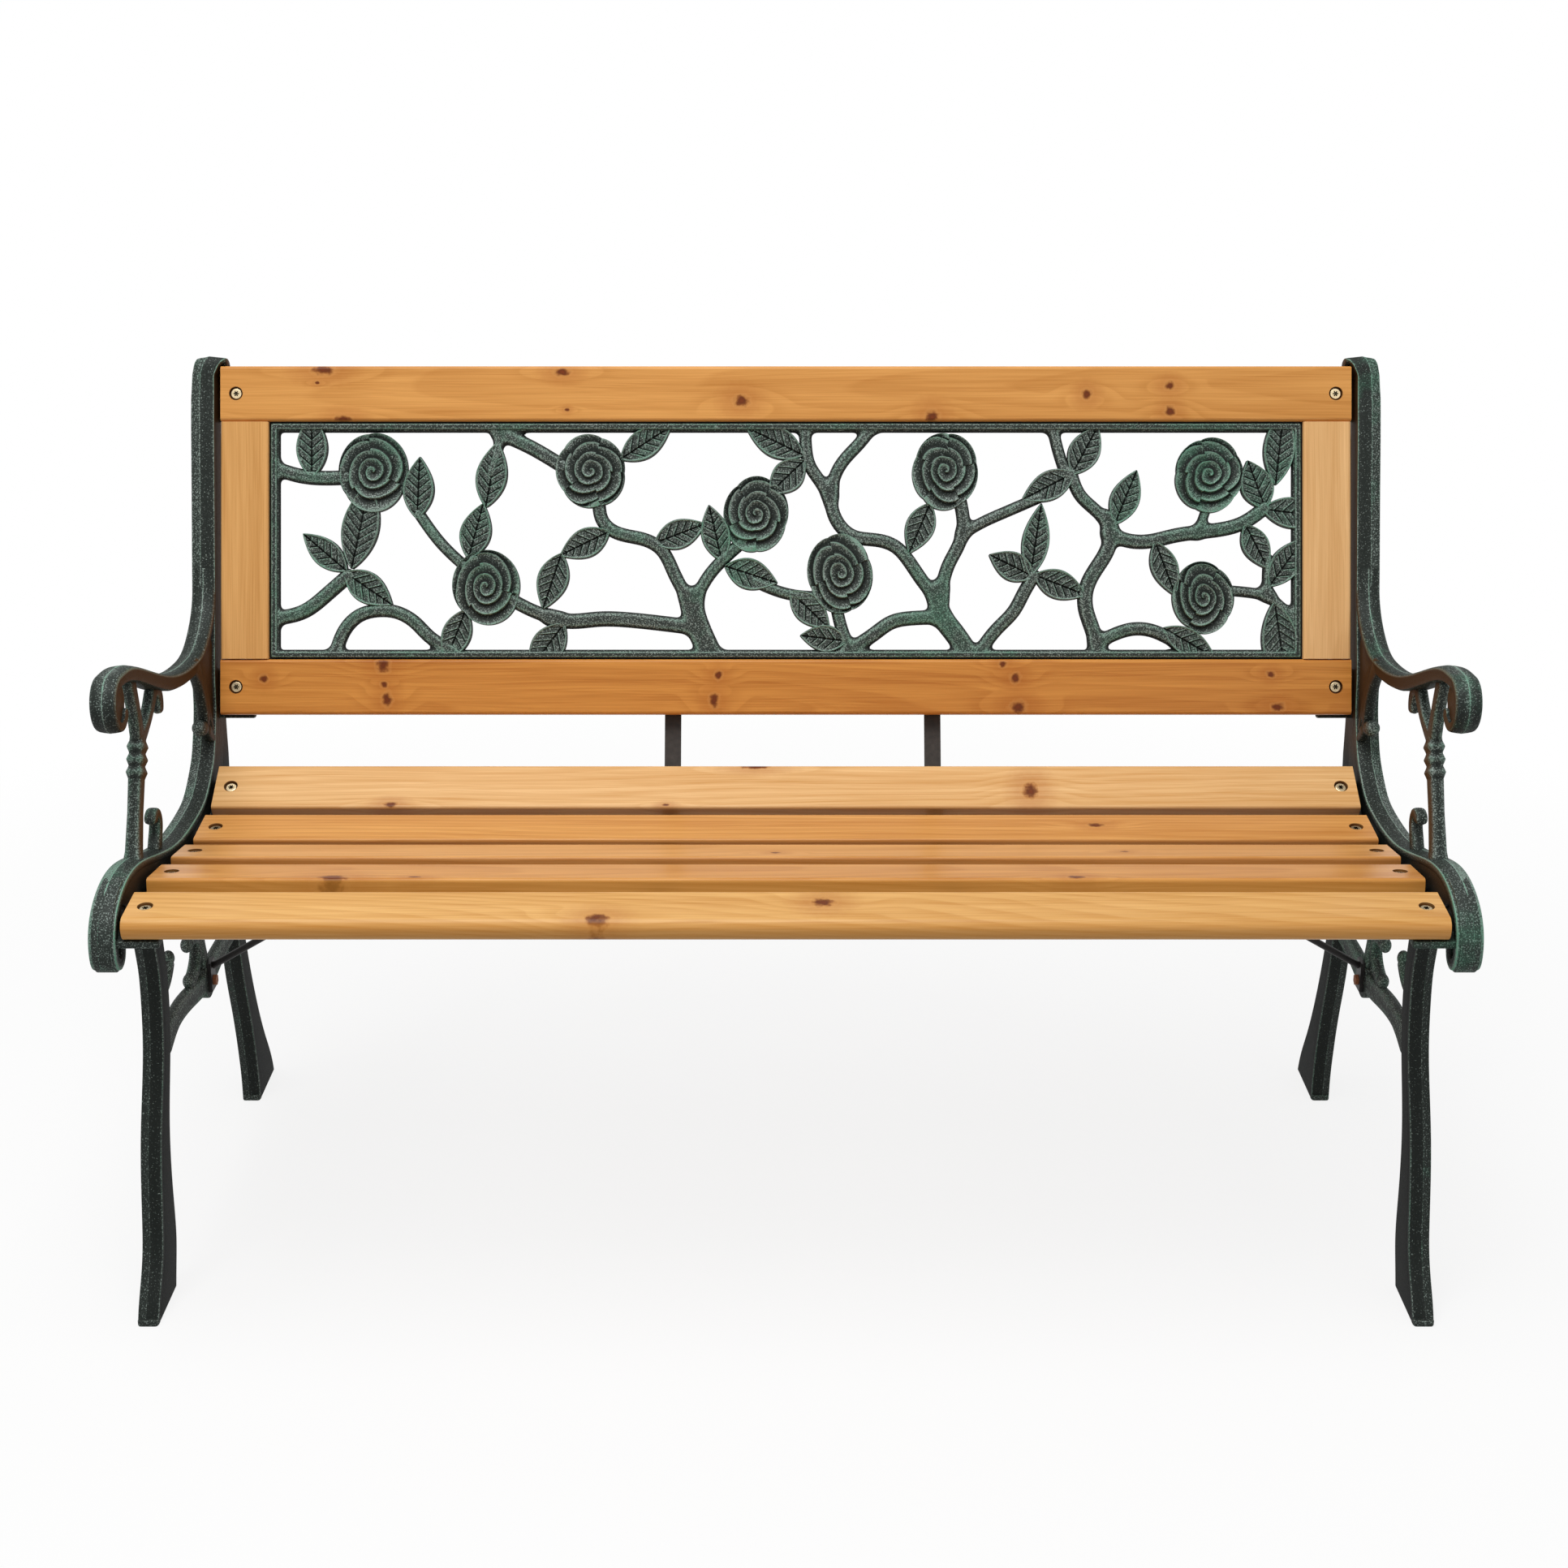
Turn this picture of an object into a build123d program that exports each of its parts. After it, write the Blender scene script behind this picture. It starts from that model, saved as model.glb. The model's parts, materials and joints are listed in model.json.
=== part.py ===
from build123d import *
import os
from math import cos, hypot, radians, sin

# Garden bench: two cast-iron end frames carry five seat boards and a framed back with a cast rose panel.
# X runs along the bench, the sitter faces -Y and Z is up. The origin is on the floor, at the middle of the
# bench's length and depth. Sizes are millimetres and degrees.

# Whole bench
bench_length = 1228
seat_height = 430
back_lean = 20
back_foot_y = 134
back_rise = 52

# Boards
board_width = 57
board_thickness = 22
board_end_gap = 6
board_edge_radius = 3.5
front_edge_radius = 10
stile_width = 49.5
stile_length = 245
stile_gap = 0.5

# Each seat board: middle of its top face from mid-depth, its height over seat_height, and its tilt
seat_stations = [(-248.5, -0.5, 6), (-155, -5, -8), (-69, -18.5, -9), (14.5, -26, 5.5), (88, -10, 30)]

# End frame casting
flange_width = 24
leg_width = 19
flange_thickness = 9
web_thickness = 12
web_inset = 0
arm_width = 30
arm_thickness = 14
arm_roll_radius = 27
scroll_thickness = 12
stretcher_half_width = 11.5
upright_half_width = 7
scroll_half_width = 6
thin_scroll_half_width = 4.5
lug_radius = 19
lug_recess_radius = 8
lug_recess_depth = 3
pad_reach = 61
pad_thickness = 7
pad_margin = 3
rail_pad_drop = 6
board_recess = 13
post_proud = 4
cap_radius = 14
cap_width = 29
cap_lip_width = 36
cap_lip_gap = 1
foot_height = 6
web_cover = 1
drawn_seat_height = 430

# Board bolts with washers and nuts, M6
bolt_diameter = 6
bolt_hole_clearance = 0.3
bolt_end_distance = 16
bolt_head_diameter = 11.5
bolt_head_height = 3.3
counterbore_clearance = 1.1
counterbore_depth = 5
recess_width = 1.4
recess_length = 5.6
recess_depth = 2
recess_turns = [0, 60, 120]
washer_diameter = 13
washer_thickness = 1.5
nut_across_flats = 10
nut_height = 5
thread_end = 3

# Rose panel
panel_gap = 2
rim_width = 9
rim_front = -3
rim_back = -14
relief_front = -5
relief_back = -13
rose_front = 1
tongue_length = 4.5
tongue_thickness = 4
groove_clearance = 0.3
tongue_middle = -9
drawn_panel_width = 1065
drawn_panel_height = 242

# Dowels between stiles and rails
dowel_diameter = 8
dowel_length = 40
dowel_spacing = 24
dowel_end_room = 1

# Straps behind the bottom rail and under the seat
strap_width = 17
strap_thickness = 3
strap_left_x = -117.5
strap_right_x = 152.5
strap_end_margin = 8

# Wood screws
screw_diameter = 4
screw_head_diameter = 8
screw_head_height = 2.2
screw_bite = 14
screw_tip_room = 1
screw_hole_clearance = 0.2

# Brace rods
rod_diameter = 7
eye_width = 18
eye_thickness = 4
eye_below = 10
eye_above = 22
rod_start_rise = 16
tab_length = 30
tab_width = 16
tab_thickness = 4
tab_x = 348
tab_offset = 8
brace_bolt_room = 1

# Places worked out from the sizes above
board_length = bench_length - 2 * (flange_width + board_end_gap)
bolt_x = board_length / 2 - bolt_end_distance
frame_outer = -bench_length / 2
frame_mid = frame_outer + flange_width / 2
pad_inner = frame_outer + pad_reach
rail_spacing = stile_length + 2 * stile_gap
back_height = 2 * board_width + rail_spacing
panel_width = board_length - 2 * stile_width - 2 * panel_gap
panel_height = rail_spacing - 2 * panel_gap
stile_x = board_length / 2 - stile_width / 2
seat_web_depth = board_recess + board_thickness + pad_thickness
post_web_depth = post_proud + board_thickness + pad_thickness + web_cover
leg_stretch = seat_height / drawn_seat_height
grip = board_thickness - counterbore_depth + pad_thickness + washer_thickness + nut_height

back_normal = (0, -cos(radians(back_lean)), sin(radians(back_lean)))
back_plane = Plane((0, back_foot_y, seat_height + back_rise), x_dir=(1, 0, 0), z_dir=back_normal)
bottom_rail_plane = Plane(back_plane.from_local_coords((0, board_width / 2, 0)), (1, 0, 0), back_normal)
top_rail_plane = Plane(
    back_plane.from_local_coords((0, back_height - board_width / 2, 0)), (1, 0, 0), back_normal
)
panel_plane = Plane(back_plane.from_local_coords((0, back_height / 2, 0)), (1, 0, 0), back_normal)
seat_planes = [
    Plane((0, y, seat_height + rise), (1, 0, 0), (0, -sin(radians(tilt)), cos(radians(tilt))))
    for y, rise, tilt in seat_stations
]
board_planes = seat_planes + [bottom_rail_plane, top_rail_plane]
pad_shifts = [0, 0, 0, 0, 0, -rail_pad_drop, 0]


# Outlines in the side view are (y, z) pairs

def back_point(along, proud):
    """Side-view point at a distance up the back's slope and proud of the rails' front."""
    point = back_plane.from_local_coords((0, along, proud))
    return (point.Y, point.Z)


def over_seat(points):
    """Side-view points whose heights are given over the seat."""
    return [(y, seat_height + rise) for y, rise in points]


def leg_points(points):
    """Side-view points below the seat, stretched with the seat's height."""
    return [(y, z * leg_stretch) for y, z in points]


def moved_square(points, distance):
    """Each point moved to the left, square to the line through its neighbours."""
    moved = []
    for i, (x, y) in enumerate(points):
        before = points[max(i - 1, 0)]
        after = points[min(i + 1, len(points) - 1)]
        run_x = after[0] - before[0]
        run_y = after[1] - before[1]
        run = hypot(run_x, run_y)
        moved.append((x - run_y / run * distance, y + run_x / run * distance))
    return moved


def face_between(first_edge, second_edge):
    """Face between two smooth edges that run the same way."""
    with BuildSketch() as shape:
        with BuildLine():
            Spline(*first_edge)
            Line(first_edge[-1], second_edge[-1])
            Spline(*second_edge)
            Line(second_edge[0], first_edge[0])
        make_face()
    return shape.sketch


def band(points, left, right):
    """Band along a smooth line, reaching left and right of it."""
    return face_between(moved_square(points, left), moved_square(points, -right))


def disc(centre, radius):
    """Round boss or knob in the side view."""
    with BuildSketch() as shape:
        with Locations(centre):
            Circle(radius)
    return shape.sketch


def side_plane(thickness):
    """Plane of a side-view sketch whose extrusion is centred in the left end frame."""
    return Plane.YZ.offset(frame_mid - thickness / 2)


def web_plane(width):
    """Plane of a web's side-view sketch behind a flange of a width, near its inner edge."""
    return Plane.YZ.offset(frame_outer + width - web_inset - web_thickness)


# End frame: lines of the casting
post_line = [
    back_point(-10, -4),
    back_point(0.22 * back_height, -1),
    back_point(0.42 * back_height, 0),
    back_point(0.65 * back_height, 2),
    back_point(0.87 * back_height, post_proud),
    back_point(back_height - 6, post_proud),
]
arm_line = [back_point(0.42 * back_height, 0), back_point(0.325 * back_height, 2)] + over_seat(
    [(141, 137), (112, 126.5), (81, 125.5), (-1, 138.5), (-104, 177), (-150, 191), (-180, 193)]
)
arm_taper_back_y = 81
arm_taper_front_y = -104
arm_roll_centre = (arm_line[-1][0], arm_line[-1][1] - arm_roll_radius)
seat_line = [back_point(30, -2), back_point(8, -6)] + over_seat(
    [(130, 31), (118, 13), (103, 1), (73, -15), (41, -20)]
    + [(-2, -21), (-36, -19), (-136, 4), (-203, 16), (-226, 14)]
)
nose_line = over_seat(
    [(-226, 14), (-246, 8), (-264, -3), (-275, -18), (-279, -35)]
    + [(-275, -50), (-262, -58), (-248, -54), (-240, -38)]
)
nose_root = over_seat([(-212, -24), (-200, 14)])
front_leg_front = leg_points(
    [(-152, 400), (-145, 341), (-140, 314), (-142, 281), (-150, 242)]
    + [(-185, 166), (-208, 91), (-224, 47), (-250, 11), (-256, 0)]
)
front_leg_back = leg_points(
    [(-112, 400), (-113, 341), (-110, 312), (-111, 280), (-119, 242)]
    + [(-149, 166), (-162, 91), (-166, 47), (-178, 14), (-183, 0)]
)
rear_leg_front = leg_points(
    [(164, 540), (150, 490), (144, 440), (147, 400), (150, 350), (158, 270)]
    + [(168, 202), (174, 165), (188, 114), (199, 58), (202, 17), (200, 0)]
)
rear_leg_back = leg_points(
    [(194, 544), (187, 500), (182, 450), (181, 400), (183, 350), (191, 270)]
    + [(200, 202), (209, 165), (226, 114), (252, 58), (274, 17), (280, 0)]
)
stretcher_line = leg_points([(-128, 226), (-90, 236), (-40, 235), (0, 228), (46, 222), (90, 224), (174, 226)])
upright_line = leg_points([(46, 235), (36, 270), (34, 300), (38, 340), (46, 385)])
lug_centre = (46, 222 * leg_stretch)
lug_face = frame_mid + scroll_thickness / 2
lug_back = frame_mid - scroll_thickness / 2 + lug_recess_depth
baluster_foot_y = -158
baluster_lean = 27
baluster_profile = [(0, -6), (10, -6), (8, 14), (6.5, 50), (7, 84), (7, 122), (0, 122)]
bead_places = [88, 100, 112]
bead_ring_radius = 5
bead_radius = 4.5
knob_radius = 8
arm_bracket_line = over_seat([(-104, 105), (-84, 111), (-66, 120), (-46, 134), (-30, 130), (-30, 114)])
arm_bracket_knob_radius = 6.5
arm_prop_line = over_seat([(-104, 105), (-108, 132), (-117, 168)])
leaf_hook_line = over_seat([(-88, -16), (-80, 6), (-74, 18), (-82, 23), (-90, 17)])
post_leaf_line = over_seat([(96, 116), (104, 92), (113, 70), (116, 44), (134, 28)])
post_gusset_root = over_seat([(148, 62), (153, 82), (163, 112), (156, 134), (120, 119)])
post_leaf_knob = over_seat([(116, 43)])[0]
post_leaf_knob_radius = 8
curl_line = [(y, lug_centre[1] + rise) for y, rise in [(-8, 63), (12, 61), (24, 46), (12, 30), (-12, 25)]]
leg_bud_line = leg_points([(-116, 284), (-94, 287), (-76, 301)])

baluster_axis = (0, sin(radians(baluster_lean)), cos(radians(baluster_lean)))
baluster_plane = Plane(
    (frame_mid, baluster_foot_y, seat_height),
    (1, 0, 0),
    (0, -cos(radians(baluster_lean)), sin(radians(baluster_lean))),
)
cap_centre = back_point(back_height - 2, -10)

# Gusset between the post and the leaf that hangs from the arm
with BuildSketch() as post_gusset:
    with BuildLine():
        Polyline(*post_leaf_line, *post_gusset_root, close=True)
    make_face()

# Arm of the left end frame: a ribbon that widens towards its rolled front
with BuildPart() as arm:
    with BuildSketch(Plane.YZ.offset(frame_outer)):
        add([band(arm_line, arm_thickness, 0), disc(arm_roll_centre, arm_roll_radius)])
    extrude(amount=arm_width)
    with BuildSketch(Plane.XY.offset(seat_height)):
        with BuildLine():
            Polyline(
                (frame_outer + flange_width, arm_taper_back_y),
                (frame_outer + flange_width, bench_length / 2),
                (frame_outer + arm_width, bench_length / 2),
                (frame_outer + arm_width, arm_taper_front_y),
                close=True,
            )
        make_face()
    extrude(amount=seat_height, mode=Mode.SUBTRACT)

# Left end frame
with BuildPart() as end_frame_left:
    # Post and seat rail: a front flange with a thinner web behind it, and the rail's rolled nose
    with BuildSketch(Plane.YZ.offset(frame_outer)):
        add([band(post_line, 0, flange_thickness), band(seat_line, flange_thickness, 0)])
        with BuildLine():
            Spline(*nose_line)
            Polyline(nose_line[-1], *nose_root, nose_line[0])
        make_face()
    extrude(amount=flange_width)
    with BuildSketch(web_plane(flange_width)):
        add([band(post_line, 0, post_web_depth), band(seat_line, seat_web_depth, 0)])
    extrude(amount=web_thickness)
    # Legs: the same flange and web, narrower, on flat feet
    with BuildSketch(Plane.YZ.offset(frame_outer)):
        add([band(front_leg_front, flange_thickness, 0), band(rear_leg_front, flange_thickness, 0)])
        for foot_front, foot_back in ((front_leg_front, front_leg_back), (rear_leg_front, rear_leg_back)):
            with Locations(((foot_front[-1][0] + foot_back[-1][0]) / 2, foot_height / 2)):
                Rectangle(foot_back[-1][0] - foot_front[-1][0], foot_height)
        with Locations((0, -bench_length / 2)):
            Rectangle(bench_length, bench_length, mode=Mode.SUBTRACT)
    extrude(amount=leg_width)
    with BuildSketch(web_plane(leg_width)):
        add(
            [
                face_between(front_leg_front, front_leg_back),
                face_between(rear_leg_front, rear_leg_back),
            ]
        )
    extrude(amount=web_thickness)
    # Arm, and the round cap of the post with its lip over the top rail
    add(arm.part)
    with BuildSketch(Plane.YZ.offset(frame_outer)):
        add(disc(cap_centre, cap_radius))
    extrude(amount=cap_width)
    with BuildSketch(Plane.YZ.offset(frame_outer)):
        add(disc(cap_centre, cap_radius))
        rail_room = back_point(back_height + cap_lip_gap - 2 * cap_radius, 0)
        with Locations(Location((*rail_room, 0), (0, 0, -back_lean))):
            Rectangle(4 * cap_radius, 4 * cap_radius, mode=Mode.SUBTRACT)
    extrude(amount=cap_lip_width)
    # Scrolls above and below the seat
    with BuildSketch(side_plane(scroll_thickness)):
        add(
            [
                band(arm_bracket_line, scroll_half_width, scroll_half_width),
                disc(arm_bracket_line[-1], arm_bracket_knob_radius),
                band(arm_prop_line, scroll_half_width, scroll_half_width),
                band(leaf_hook_line, thin_scroll_half_width, thin_scroll_half_width),
                band(post_leaf_line, thin_scroll_half_width, thin_scroll_half_width),
                post_gusset.sketch,
                disc(post_leaf_knob, post_leaf_knob_radius),
                band(stretcher_line, stretcher_half_width, stretcher_half_width),
                disc(lug_centre, lug_radius),
                band(upright_line, upright_half_width, upright_half_width),
                band(curl_line, thin_scroll_half_width, thin_scroll_half_width),
                disc(curl_line[0], knob_radius),
                disc(curl_line[-1], knob_radius),
                band(leg_bud_line, thin_scroll_half_width, thin_scroll_half_width),
                disc(leg_bud_line[-1], knob_radius),
            ]
        )
    extrude(amount=scroll_thickness)
    # Baluster that leans back under the arm, with three beads
    with BuildSketch(baluster_plane):
        with BuildLine():
            Polyline(*baluster_profile, close=True)
        make_face()
    revolve(axis=Axis(baluster_plane.origin, baluster_axis))
    for place in bead_places:
        with Locations(Plane(baluster_plane.from_local_coords((0, place, 0)), z_dir=baluster_axis)):
            Torus(bead_ring_radius, bead_radius)
    # Bolt hole of the stretcher's lug, with a recess for the nut on its outer side
    with Locations(Location((frame_mid, *lug_centre), (0, 90, 0))):
        Cylinder(bolt_diameter / 2 + bolt_hole_clearance, 2 * flange_width, mode=Mode.SUBTRACT)
    with Locations(Location((lug_back - flange_width / 2, *lug_centre), (0, 90, 0))):
        Cylinder(lug_recess_radius, flange_width, mode=Mode.SUBTRACT)
    # Flat seat under each board end, with its bolt hole
    for plane, shift in zip(board_planes, pad_shifts):
        with BuildSketch(plane.offset(-board_thickness)):
            with Locations(((frame_mid + pad_inner) / 2, shift)):
                Rectangle(pad_inner - frame_mid, board_width - 2 * pad_margin)
        extrude(amount=-pad_thickness)
        with Locations(plane.offset(-board_thickness).location * Location((-bolt_x, 0, 0))):
            Hole(bolt_diameter / 2 + bolt_hole_clearance, depth=3 * pad_thickness)
end_frame_left.part.label = "end_frame_left"

with BuildPart() as end_frame_right:
    mirror(end_frame_left.part, about=Plane.YZ)
end_frame_right.part.label = "end_frame_right"


# Boards

def round_board(board, radius):
    """Round the four long edges of a board."""
    fillet(board.edges().filter_by(Axis.X), radius)


def bolt_holes():
    """Counterbored bolt holes near both ends of a board, on the active plane."""
    with Locations((-bolt_x, 0, 0), (bolt_x, 0, 0)):
        CounterBoreHole(
            bolt_diameter / 2 + bolt_hole_clearance,
            bolt_head_diameter / 2 + counterbore_clearance,
            counterbore_depth,
        )


def screw_holes(places):
    """Pilot holes in a board's underside, at (x, y) places on the active plane."""
    depth = screw_bite + screw_tip_room
    with Locations(*[(x, y, depth / 2 - board_thickness) for x, y in places]):
        Cylinder(screw_diameter / 2, depth, mode=Mode.SUBTRACT)


strap_places = [(strap_left_x, 0), (strap_right_x, 0)]
tab_places = [(-tab_x, tab_offset), (tab_x, tab_offset)]
braced_board = 3

seat_slats = []
for i, plane in enumerate(seat_planes):
    with BuildPart(plane) as slat:
        with Locations((0, 0, -board_thickness / 2)):
            Box(board_length, board_width, board_thickness)
        if i == 0:
            front_edges = slat.edges().filter_by(Axis.X).sort_by(Axis.Y)[:2]
            fillet(front_edges, front_edge_radius)
            fillet(slat.edges().filter_by(Axis.X).sort_by(Axis.Y)[-2:], board_edge_radius)
        else:
            round_board(slat, board_edge_radius)
        bolt_holes()
        screw_holes(strap_places)
        if i == braced_board:
            screw_holes(tab_places)
    slat.part.label = f"seat_slat_{i + 1}"
    seat_slats.append(slat)

groove_width = tongue_thickness + 2 * groove_clearance
groove_depth = panel_gap + tongue_length + groove_clearance
groove_length = panel_width + 2 * (tongue_length + groove_clearance)
dowel_places = [
    (side * stile_x + step * dowel_spacing / 2) for side in (-1, 1) for step in (-1, 1)
]
dowel_hole_depth = (dowel_length - stile_gap) / 2 + dowel_end_room

rails = []
for label, plane, inner_edge in (
    ("back_bottom_rail", bottom_rail_plane, board_width / 2),
    ("back_top_rail", top_rail_plane, -board_width / 2),
):
    inward = -1 if inner_edge > 0 else 1
    with BuildPart(plane) as rail:
        with Locations((0, 0, -board_thickness / 2)):
            Box(board_length, board_width, board_thickness)
        round_board(rail, board_edge_radius)
        bolt_holes()
        with Locations((0, inner_edge, tongue_middle)):
            Box(groove_length, 2 * groove_depth, groove_width, mode=Mode.SUBTRACT)
        for x in dowel_places:
            middle = inner_edge + inward * dowel_hole_depth / 2
            with Locations(Location((x, middle, -board_thickness / 2), (90, 0, 0))):
                Cylinder(dowel_diameter / 2, dowel_hole_depth, mode=Mode.SUBTRACT)
        if label == "back_bottom_rail":
            screw_holes(strap_places)
    rail.part.label = label
    rails.append(rail)

stiles = []
for label, side in (("back_stile_left", -1), ("back_stile_right", 1)):
    with BuildPart(panel_plane) as stile:
        with Locations((side * stile_x, 0, -board_thickness / 2)):
            Box(stile_width, stile_length, board_thickness)
        up_the_back = Axis(panel_plane.origin, panel_plane.y_dir)
        fillet(stile.edges().filter_by(up_the_back), board_edge_radius)
        with Locations((side * (stile_x - stile_width / 2), 0, tongue_middle)):
            Box(2 * groove_depth, panel_height + 2 * tongue_length, groove_width, mode=Mode.SUBTRACT)
        for x in dowel_places:
            if x * side > 0:
                for end in (-1, 1):
                    middle = end * (stile_length - dowel_hole_depth) / 2
                    with Locations(Location((x, middle, -board_thickness / 2), (90, 0, 0))):
                        Cylinder(dowel_diameter / 2, dowel_hole_depth, mode=Mode.SUBTRACT)
    stile.part.label = label
    stiles.append(stile)

with BuildPart(panel_plane) as stile_dowels:
    for x in dowel_places:
        for end in (-1, 1):
            middle = end * (stile_length + stile_gap) / 2
            with Locations(Location((x, middle, -board_thickness / 2), (90, 0, 0))):
                Cylinder(dowel_diameter / 2, dowel_length)
stile_dowels.part.label = "stile_dowels"


# Rose panel: places on the panel from its middle, x along the bench and z up its slope

# Each rose: centre and half sizes
roses = [
    (-427, 71, 36, 40),
    (-202, 72, 35, 38),
    (-310, -48, 35, 38),
    (-31, 27, 33, 39),
    (56, -34, 33, 41),
    (165, 72, 34, 39),
    (438, 68, 35, 38),
    (432, -59, 31, 37),
]

# Each stem: width, then the points that its middle passes through
stems = [
    (15, [(-528, 75), (-505, 68), (-455, 66)]),
    (12, [(-380, 28), (-357, -3), (-333, -26)]),
    (11, [(-296, 116), (-298, 98), (-306, 70)]),
    (15, [(-298, 112), (-270, 100), (-232, 78)]),
    (15, [(-528, -80), (-500, -73), (-478, -57), (-454, -36)]),
    (14, [(-467, -116), (-456, -90), (-442, -77), (-423, -72)]
     + [(-403, -74), (-384, -85), (-371, -98), (-345, -114)]),
    (14, [(-286, -60), (-258, -74), (-235, -81)]),
    (16, [(-244, -80), (-225, -83), (-195, -81), (-160, -82), (-92, -90)]),
    (25, [(-79, -116), (-90, -92), (-96, -74), (-98, -60)]),
    (14, [(-98, -66), (-117, -31), (-130, -8), (-145, 1), (-162, 5), (-180, 11), (-190, 21), (-194, 40)]),
    (13, [(-96, -66), (-80, -36), (-64, -18), (-44, 0)]),
    (12, [(-32, -42), (-8, -52), (8, -56), (34, -58)]),
    (13, [(52, -66), (57, -88), (68, -116)]),
    (15, [(64, -114), (92, -96), (110, -84), (130, -80), (162, -79)]),
    (22, [(190, -118), (172, -92), (160, -74), (158, -52)]),
    (14, [(158, -62), (140, -39), (127, -20), (114, -6), (100, 0)]
     + [(85, 2), (70, 5), (57, 15), (49, 30), (46, 54)]),
    (13, [(46, 44), (34, 64), (25, 78), (21, 95), (20, 116)]),
    (13, [(47, 50), (52, 70), (62, 86), (75, 100), (88, 116)]),
    (14, [(160, -58), (169, -24), (180, -2), (184, 15), (181, 40)]),
    (12, [(184, 8), (205, 20), (225, 29), (262, 45)]),
    (14, [(200, -116), (220, -90), (236, -73), (246, -55), (257, -36)]),
    (12, [(277, 116), (282, 95), (290, 70)]),
    (13, [(296, 70), (305, 48), (319, 34), (336, 18)]),
    (16, [(324, -118), (318, -92), (311, -70), (311, -52), (319, -33), (331, -14), (337, 6), (334, 24)]),
    (15, [(334, 8), (358, 0), (378, 0), (400, 5), (425, 9), (450, 12), (472, 18), (496, 34)]),
    (10, [(427, 8), (432, 22), (437, 36)]),
    (14, [(322, -106), (345, -95), (362, -91), (380, -93), (400, -102)]),
    (11, [(455, -51), (485, -54), (502, -57)]),
    (11, [(496, -53), (511, -66), (530, -82)]),
    (10, [(499, -56), (499, -35), (500, -18)]),
]

# Each leaf: where it leaves its stem, its tip, and its half width
leaves = [
    (-491, 64, -491, 133, 16),
    (-382, 22, -379, 88, 16),
    (-311, 34, -298, 104, 16),
    (-329, -20, -313, 40, 16),
    (-454, -32, -501, 8, 14),
    (-450, -30, -430, 64, 19),
    (-458, -32, -407, -67, 16),
    (-331, -70, -353, -128, 15),
    (-182, 10, -235, -16, 15),
    (-232, -12, -252, -72, 16),
    (-229, -85, -266, -135, 17),
    (-172, 84, -118, 119, 15),
    (-137, -3, -82, 18, 15),
    (-66, -22, -80, 38, 15),
    (-64, -26, -8, -44, 16),
    (4, -52, 46, -92, 15),
    (64, -104, 14, -98, 14),
    (19, 88, -42, 118, 16),
    (20, 84, -18, 48, 16),
    (150, 40, 127, -14, 15),
    (258, -38, 210, -14, 15),
    (253, -38, 265, 40, 14),
    (256, -35, 312, -57, 15),
    (300, 71, 244, 42, 15),
    (296, 68, 324, 120, 16),
    (340, 16, 364, 74, 15),
    (382, 0, 404, -58, 14),
    (390, -90, 446, -122, 14),
    (475, 18, 500, -30, 14),
    (500, -48, 538, 4, 15),
    (497, 32, 478, 84, 17),
    (492, 33, 562, 24, 16),
    (507, 57, 516, 140, 16),
    (506, -62, 520, -160, 19),
]

stretch_x = panel_width / drawn_panel_width
stretch_z = panel_height / drawn_panel_height
rose_steps = [(1, 0.35), (0.8, 0.62), (0.55, 0.84), (0.3, 1)]


def on_panel(points):
    """Drawn panel places, stretched to the panel's own size."""
    return [(x * stretch_x, z * stretch_z) for x, z in points]


def leaf_face(base_x, base_z, tip_x, tip_z, half_width):
    """Pointed leaf: two arcs from its base to its tip."""
    base, tip = on_panel([(base_x, base_z), (tip_x, tip_z)])
    run = hypot(tip[0] - base[0], tip[1] - base[1])
    across = (-(tip[1] - base[1]) / run * half_width, (tip[0] - base[0]) / run * half_width)
    middle = ((base[0] + tip[0]) / 2, (base[1] + tip[1]) / 2)
    with BuildSketch() as shape:
        with BuildLine():
            ThreePointArc(base, (middle[0] + across[0], middle[1] + across[1]), tip)
            ThreePointArc(tip, (middle[0] - across[0], middle[1] - across[1]), base)
        make_face()
    return shape.sketch


with BuildPart() as rose_panel:
    # Rim, and the tongue that sits in the grooves round it
    with BuildSketch(panel_plane.offset(rim_back)):
        Rectangle(panel_width, panel_height)
        Rectangle(panel_width - 2 * rim_width, panel_height - 2 * rim_width, mode=Mode.SUBTRACT)
    extrude(amount=rim_front - rim_back)
    with BuildSketch(panel_plane.offset(tongue_middle - tongue_thickness / 2)):
        Rectangle(panel_width + 2 * tongue_length, panel_height + 2 * tongue_length)
        Rectangle(panel_width - rim_width, panel_height - rim_width, mode=Mode.SUBTRACT)
    extrude(amount=tongue_thickness)
    # Stems and leaves, trimmed to the rim
    with BuildSketch(panel_plane.offset(relief_back)):
        add([band(on_panel(points), width / 2, width / 2) for width, points in stems])
        add([leaf_face(*leaf) for leaf in leaves])
        Rectangle(panel_width - rim_width, panel_height - rim_width, mode=Mode.INTERSECT)
    extrude(amount=relief_front - relief_back)
    # Roses, each a stack of shrinking ovals
    for share, rise in rose_steps:
        with BuildSketch(panel_plane.offset(relief_back)):
            for x, z, half_x, half_z in roses:
                with Locations(on_panel([(x, z)])[0]):
                    Ellipse(half_x * share * stretch_x, half_z * share * stretch_z)
        extrude(amount=rise * (rose_front - relief_back))
rose_panel.part.label = "rose_panel"

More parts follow.
